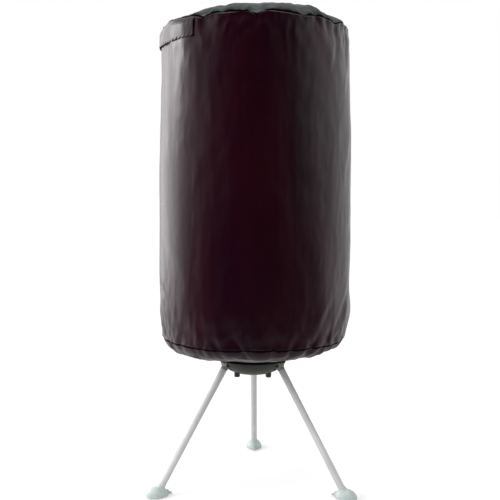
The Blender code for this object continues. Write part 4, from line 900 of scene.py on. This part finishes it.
def sewn_in(piece, nylon, node_name):
    """Gives a panel its thickness, cloth and seam thread with its painted shade, and fixes it to the stand.
    """
    apply_modifier(piece, "SOLIDIFY", thickness=CLOTH, offset=-1.0)
    piece.data.materials.append(nylon)
    piece.data.materials.append(seam_thread_painted_shade)
    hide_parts(node_name)
    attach(piece, "stand")


sewn_in(bag_side, plum_nylon, "bag_side")


# Bag top: a round panel over the hanger's head and the top hoop. It is the same nylon, duller than
# the side's, with a grey-green colour that paints the grey sheen the light from above gives it, pulled into
# radial folds where the seam gathers it.
TOP_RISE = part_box("bag_top")[1][2] - HIGH_SEAM
# how far out, and how much of the rise is reached there
TOP_SHARES = (
    (0.0, 1.0), (0.18, 1.0), (0.36, 0.975), (0.52, 0.92), (0.70, 0.79), (0.84, 0.60), (0.925, 0.38),
    (0.979, 0.19), (1.0, 0.0),
)
# the same on the two sides, where the panel is pulled flat
FLAT_SHARES = (
    (0.0, 1.0), (0.18, 1.0), (0.36, 0.95), (0.52, 0.84), (0.70, 0.64), (0.84, 0.39), (0.925, 0.18),
    (0.979, 0.06), (1.0, 0.0),
)
PANEL_STEPS = (-0.012, 0.0, 0.012)
# past this share the table is read without rounding, so the panel ends in its seam
SEAM_SHARE = 0.995
SEAM_TO_MIDDLE = np.array([
    1.0, 0.9945, 0.9915, 0.987, 0.978, 0.966, 0.952, 0.936, 0.918, 0.898, 0.876, 0.852, 0.826, 0.798,
    *np.linspace(0.768, 0.06, 26),
])
# azimuths in degrees between which the flat shape comes in and goes, and its share there
LEFT_FLAT, LEFT_SHARE = ((-26.0, -50.0), (-165.0, -140.0)), 1.0
RIGHT_FLAT, RIGHT_SHARE = ((48.0, 78.0), (140.0, 110.0)), 0.75
# the shares of a tuck's depth that go inwards and down, and where it no longer bends the rim
TUCK_IN, TUCK_DOWN = 0.5, 0.9
SIDE_SWELL = 0.0016
RIM_BLEND = 0.30
# azimuth in degrees, depth, half width, length and slant
TOP_TUCKS = (
    (-1.5, 0.009, 0.006, 0.055, 0.30), (6.0, 0.009, 0.006, 0.055, -0.30),
    (-29.6, 0.008, 0.009, 0.08, 0.3), (55.0, 0.007, 0.009, 0.07, -0.2),
    (-18.0, 0.006, 0.009, 0.07, -0.3), (30.0, 0.006, 0.009, 0.08, 0.3),
)
# azimuth and half width in degrees, share and its half width, and lift
TOP_LIFTS = ((-60.0, 30.0, 0.62, 0.30, -0.006), (40.0, 16.0, 0.80, 0.22, 0.007))
# how far out, and how loose the cloth is there: tight over the hub, loosest near the seam
LOOSE_SHARES = ((0.17, 0.0), (0.42, 0.40), (0.78, 0.40), (0.92, 1.0))
TOP_RIPPLES = (((13.0, 13.0, 13.0), 0.0045, 5.0),)
TOP_CRUMPLES = (
    ((12.0, 12.0, 12.0), 0.0042, 31.0), ((19.0, 19.0, 19.0), 0.0048, 15.0),
    ((40.0, 40.0, 40.0), 0.0018, 25.0),
)


def across_seam(puckers, longer):
    """The gathers of one cloth as they carry on in the panel sewn to it."""
    return [
        (at, deep * 1.1, width * 1.1, length * longer, -slant) for at, deep, width, length, slant in puckers
    ]


def panel_rise(shares, share):
    rounded = read_shares(shares, share, PANEL_STEPS)
    return np.where(share > SEAM_SHARE, read_shares(shares, share), rounded)


angle_grid, share_grid = np.meshgrid(angles, SEAM_TO_MIDDLE)
bearing = np.degrees(wrapped(angle_grid))
flat = sum(
    most * eased(bearing, *coming) * eased(bearing, *going)
    for (coming, going), most in ((LEFT_FLAT, LEFT_SHARE), (RIGHT_FLAT, RIGHT_SHARE))
)
rise = panel_rise(TOP_SHARES, share_grid)
rise += (read_shares(FLAT_SHARES, share_grid) - rise) * flat
rim = top_seam(angle_grid)
inwards = (1.0 - share_grid) * SEAM_RADIUS
tuck = pucker_depth(angle_grid, inwards, [
    *across_seam(top_puckers, 1.5), *[(radians(at), *rest) for at, *rest in TOP_TUCKS],
])
outer = share_grid * SEAM_RADIUS
radius = outer - seam_groove(inwards) - tuck * TUCK_IN
radius += SIDE_SWELL * np.exp(-inwards / TOP_FALL) * grown(inwards, PUCKER_FROM)
heights = rim + (HIGH_SEAM - rim) * eased(1.0 - share_grid, 0.0, RIM_BLEND) + TOP_RISE * rise
heights += seam_swell(inwards, SWELL, TOP_FALL) - tuck * TUCK_DOWN
smooth_top = round_points(angle_grid, outer, heights)
for at, spread, share, share_spread, lift in TOP_LIFTS:
    near = bell(wrapped(angle_grid - radians(at)), radians(spread))
    heights += lift * near * bell(share_grid - share, share_spread) * grown(inwards, 0.01)
radius = np.maximum(radius, np.where(heights < HOOP_TOP + HOOP_NEAR, hoop_clearance(heights), 0.0))
loose = grown(inwards, TOP_FALL) * np.interp(share_grid, *np.transpose(LOOSE_SHARES))
heights += noise_height(smooth_top, TOP_RIPPLES, TOP_CRUMPLES) * loose
top_panel = sewn_sheet(
    "nylon_top", angle_grid, radius, heights, SEAM_GIRTH, (1.0 - SEAM_TO_MIDDLE) * SEAM_RADIUS,
    pole=(AXIS.x, AXIS.y, float(heights[-1].mean())),
)
mark_seam_thread_and_shade(top_panel, first_rows=1, last_rows=0)
top_nylon_painted_sheen = proofed_nylon(
    "proofed nylon taffeta, painted grey sheen", "#15191A", "#343A3B", sheen=0.02, sheen_tint="#C9CCCA",
    specular=0.13, roughness=0.44,
)
sewn_in(top_panel, top_nylon_painted_sheen, "bag_top")


# Hem: the bottom panel's edge, turned over an elastic that grips the housing in small
# even gathers. Its woven casing is matt, with ribs of 0.4 mm drawn at 0.8 mm, and is coloured near black to
# paint the band of shade between the bag and the housing.
HEM_STEPS, HEM_SIDES = 288, 12
HEM_HALF_WIDTH, HEM_HALF_HEIGHT = 0.0022, 0.0042
HEM_GATHERS = 62
HEM_RUN, HEM_GIRTH = 0.7, 0.02
# how deep the hem's middle lies in its CAD box, and what a gather adds to its half width, half
# height and radius
HEM_INSET, GATHER_WIDTH, GATHER_HEIGHT, GATHER_OUT = 0.0025, 0.0007, 0.0004, 0.0006
hem_low, hem_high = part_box("bag_hem")
hem_outer = (hem_high[0] - hem_low[0]) / 2
hem_middle = (hem_low[2] + hem_high[2]) / 2
angle_grid, side_grid = np.meshgrid(
    np.linspace(0.0, 2 * pi, HEM_STEPS, endpoint=False), np.linspace(0.0, 2 * pi, HEM_SIDES + 1),
)
gather = 0.5 + 0.5 * np.sin(HEM_GATHERS * angle_grid + 1.4 * np.sin(5 * angle_grid))
radius = hem_outer - HEM_INSET - (HEM_HALF_WIDTH + GATHER_WIDTH * gather) * np.cos(side_grid)
radius += GATHER_OUT * gather
heights = hem_middle - (HEM_HALF_HEIGHT + GATHER_HEIGHT * gather) * np.sin(side_grid)
hem = sewn_sheet(
    "elastic_hem", angle_grid, radius, heights, HEM_RUN, np.linspace(0.0, HEM_GIRTH, HEM_SIDES + 1),
)
hem_casing_painted_shade = finish(
    "woven elastic casing, painted shade black", "#0B0909", "#151212", rough=(0.75, 0.9), patch=0.01,
    grain=0.0008, relief=0.0001, **{"Specular IOR Level": 0.1},
)
hem.data.materials.append(hem_casing_painted_shade)
opened(hem)
bpy.ops.mesh.remove_doubles(threshold=0.00005)
bpy.ops.mesh.normals_make_consistent(inside=False)
bpy.ops.object.mode_set(mode="OBJECT")
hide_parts("bag_hem")
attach(hem, "stand")


# Bag bottom: a ring of the plum nylon that curves in from the lower hoop to the hem round
# the housing, hanging in shallow folds.
HEM_TOP = hem_high[2]
HEM_RADIUS = hem_outer - 0.004
# how far out, and how much of the rise to the seam is reached there
BOTTOM_SHARES = (
    (1.0, 1.0), (0.985, 0.88), (0.945, 0.70), (0.86, 0.49), (0.73, 0.26), (0.60, 0.13), (0.47, 0.06),
    (0.19, 0.0), (0.0, 0.0),
)
HEM_TO_SEAM = np.array([
    *np.linspace(0.0, 0.78, 30), 0.81, 0.84, 0.865, 0.89, 0.91, 0.93, 0.945, 0.958, 0.969, 0.978,
    0.985, 0.991, 0.996, 1.0,
])
BOTTOM_RIPPLES = (((12.0, 12.0, 12.0), 0.0050, 35.0),)
BOTTOM_CRUMPLES = (((19.0, 19.0, 19.0), 0.0046, 45.0), ((42.0, 42.0, 42.0), 0.0016, 55.0))
# the cloth hangs no lower than a cone that climbs outwards from the hem, steeper in front
CONE_SLOPE, CONE_FRONT_SLOPE, CONE_EASE = 0.165, 0.065, 0.004
FRONT_HALF = radians(55.0)
# a lift on the right: azimuth and half width, share and its half width, and height
LIFT_AT, LIFT_HALF = radians(62.0), radians(38.0)
LIFT_SHARE, LIFT_SHARE_HALF, RIGHT_LIFT = 0.6, 0.3, 0.016
HEM_TUCK_DOWN = 0.8
HEM_DIP, HEM_DIP_REACH = 0.002, 0.01
HEM_HOLD = 0.05
angle_grid, share_grid = np.meshgrid(angles, HEM_TO_SEAM)
run = SEAM_RADIUS - HEM_RADIUS
inwards = (1.0 - share_grid) * run
outwards = share_grid * run
tuck = pucker_depth(angle_grid, inwards, across_seam(low_puckers, 1.3))
hem_tuck = pucker_depth(angle_grid, outwards, gathers(34, ()), HEM_RADIUS)
radius = HEM_RADIUS + outwards - seam_groove(inwards) - tuck * TUCK_IN
heights = HEM_TOP + (low_seam(angle_grid) - HEM_TOP) * panel_rise(BOTTOM_SHARES, share_grid)
heights += tuck * TUCK_DOWN + hem_tuck * HEM_TUCK_DOWN
smooth_bottom = round_points(angle_grid, radius, heights)
on_right = bell(wrapped(angle_grid - LIFT_AT), LIFT_HALF) * bell(share_grid - LIFT_SHARE, LIFT_SHARE_HALF)
heights += RIGHT_LIFT * on_right * grown(inwards, TOP_FALL)
cone = HEM_TOP + (CONE_SLOPE + CONE_FRONT_SLOPE * bell(wrapped(angle_grid), FRONT_HALF)) * outwards
heights = cone + 0.5 * (heights - cone + np.sqrt((heights - cone) ** 2 + CONE_EASE ** 2))
heights -= HEM_DIP * np.exp(-outwards / HEM_DIP_REACH)
radius = np.maximum(radius, np.where(heights > HOOP_LOW - HOOP_NEAR, hoop_clearance(heights), 0.0))
loose = grown(inwards, TOP_FALL) * grown(outwards, HEM_HOLD)
heights += noise_height(smooth_bottom, BOTTOM_RIPPLES, BOTTOM_CRUMPLES) * loose
bottom_panel = sewn_sheet("nylon_bottom", angle_grid, radius, heights, SEAM_GIRTH, HEM_TO_SEAM * run)
mark_seam_thread_and_shade(bottom_panel, first_rows=0, last_rows=2)
sewn_in(bottom_panel, plum_nylon, "bag_bottom")


# Zip: a woven tape sewn under the top seam, and its slider. The slider runs round the bag's
# left and back. The tape's ribs of 0.4 mm are drawn at 0.8 mm, with little shine.
zip_cloth = finish(
    "woven zip tape, black", "#1A1719", "#2A2628", rough=(0.5, 0.65), patch=0.008,
    grain=0.0008, relief=0.0001,
)
moulded("zip_tape", zip_cloth, 0.0)
moulded("zip_slider", zip_cloth, 0.0003, "slider")


# Zip flap: a strip of the nylon sewn into the top seam, hanging over the zip. It starts at
# the front left and runs round the left side to the back, tacked down at even steps.
FLAP_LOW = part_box("zip_flap")[0][2]
FLAP_START, FLAP_SPAN = radians(-35.5), radians(186.0)
FLAP_COLUMNS = 440
FLAP_DEPTH = 0.06
FLAP_DROPS = np.array([1.0, 0.96, 0.92, 0.86, 0.78, 0.69, 0.59, 0.49, 0.39, 0.30, 0.21, 0.13, 0.06, 0.0])
# how far down the flap, and how far it stands out from the seam
FLAP_SHARES = (
    (0.0, 0.0), (0.06, 0.0022), (0.13, 0.0044), (0.21, 0.0062), (0.27, 0.0073), (0.49, 0.0074),
    (0.74, 0.0074), (1.0, 0.0066),
)
# the flap's top edge lies this far below the seam, and its lower edge waves up and down
FLAP_INSET, EDGE_WAVE, EDGE_SLOW_WAVE = 0.0006, 0.0014, 0.0018
# its pleats stand out between the tacks, near the seam
PLEAT_POWER, PLEAT_OUT, PLEAT_REACH = 0.6, 0.0014, 0.10
FLAP_RIPPLES = (((24.0, 24.0, 9.0), 0.0012, 60.0),)
RIPPLE_RAISE, RIPPLE_GROWTH = 0.0003, 1.6
TACK_SPACING = 0.0165
# a tack's dark patch, its thread with the notch's shade painted in, covers the faces where a wave of its
# spacing is higher than this
TACK_LEVEL, TACK_ROWS = 0.84, 2
flap_angles = FLAP_START - FLAP_SPAN + np.linspace(0.0, FLAP_SPAN, FLAP_COLUMNS)
angle_grid, drop_grid = np.meshgrid(flap_angles, FLAP_DROPS)
seam_line = top_seam(angle_grid) - FLAP_INSET
tacks = angle_grid * SEAM_RADIUS / TACK_SPACING
lower_edge = FLAP_LOW + EDGE_WAVE * np.cos(2 * pi * tacks) + EDGE_SLOW_WAVE * np.sin(7 * angle_grid)
heights = seam_line + (lower_edge - seam_line) * drop_grid
pleat = 1.0 - np.abs(np.sin(pi * tacks)) ** PLEAT_POWER
radius = SEAM_RADIUS + CLOTH + read_shares(FLAP_SHARES, drop_grid)
radius += PLEAT_OUT * pleat * bell(drop_grid - 1.0, PLEAT_REACH)
wave = noise_height(round_points(angle_grid, radius, heights), FLAP_RIPPLES)
radius += np.maximum(wave + RIPPLE_RAISE, 0.0) * np.clip(drop_grid * RIPPLE_GROWTH, 0.0, 1.0)
flap = sewn_sheet(
    "nylon_flap", angle_grid, radius, heights, FLAP_SPAN * SEAM_RADIUS, FLAP_DEPTH * (1 - FLAP_DROPS),
    closed=False,
)
# each tack gets the near-black seam material, which paints the shade in its notch of the lower edge
for face in flap.data.polygons:
    row, column = divmod(face.index, FLAP_COLUMNS - 1)
    along = (flap_angles[column] + flap_angles[column + 1]) / 2 * SEAM_RADIUS / TACK_SPACING
    if row < TACK_ROWS and cos(2 * pi * along) > TACK_LEVEL:
        face.material_index = 1
sewn_in(flap, plum_nylon, "zip_flap")
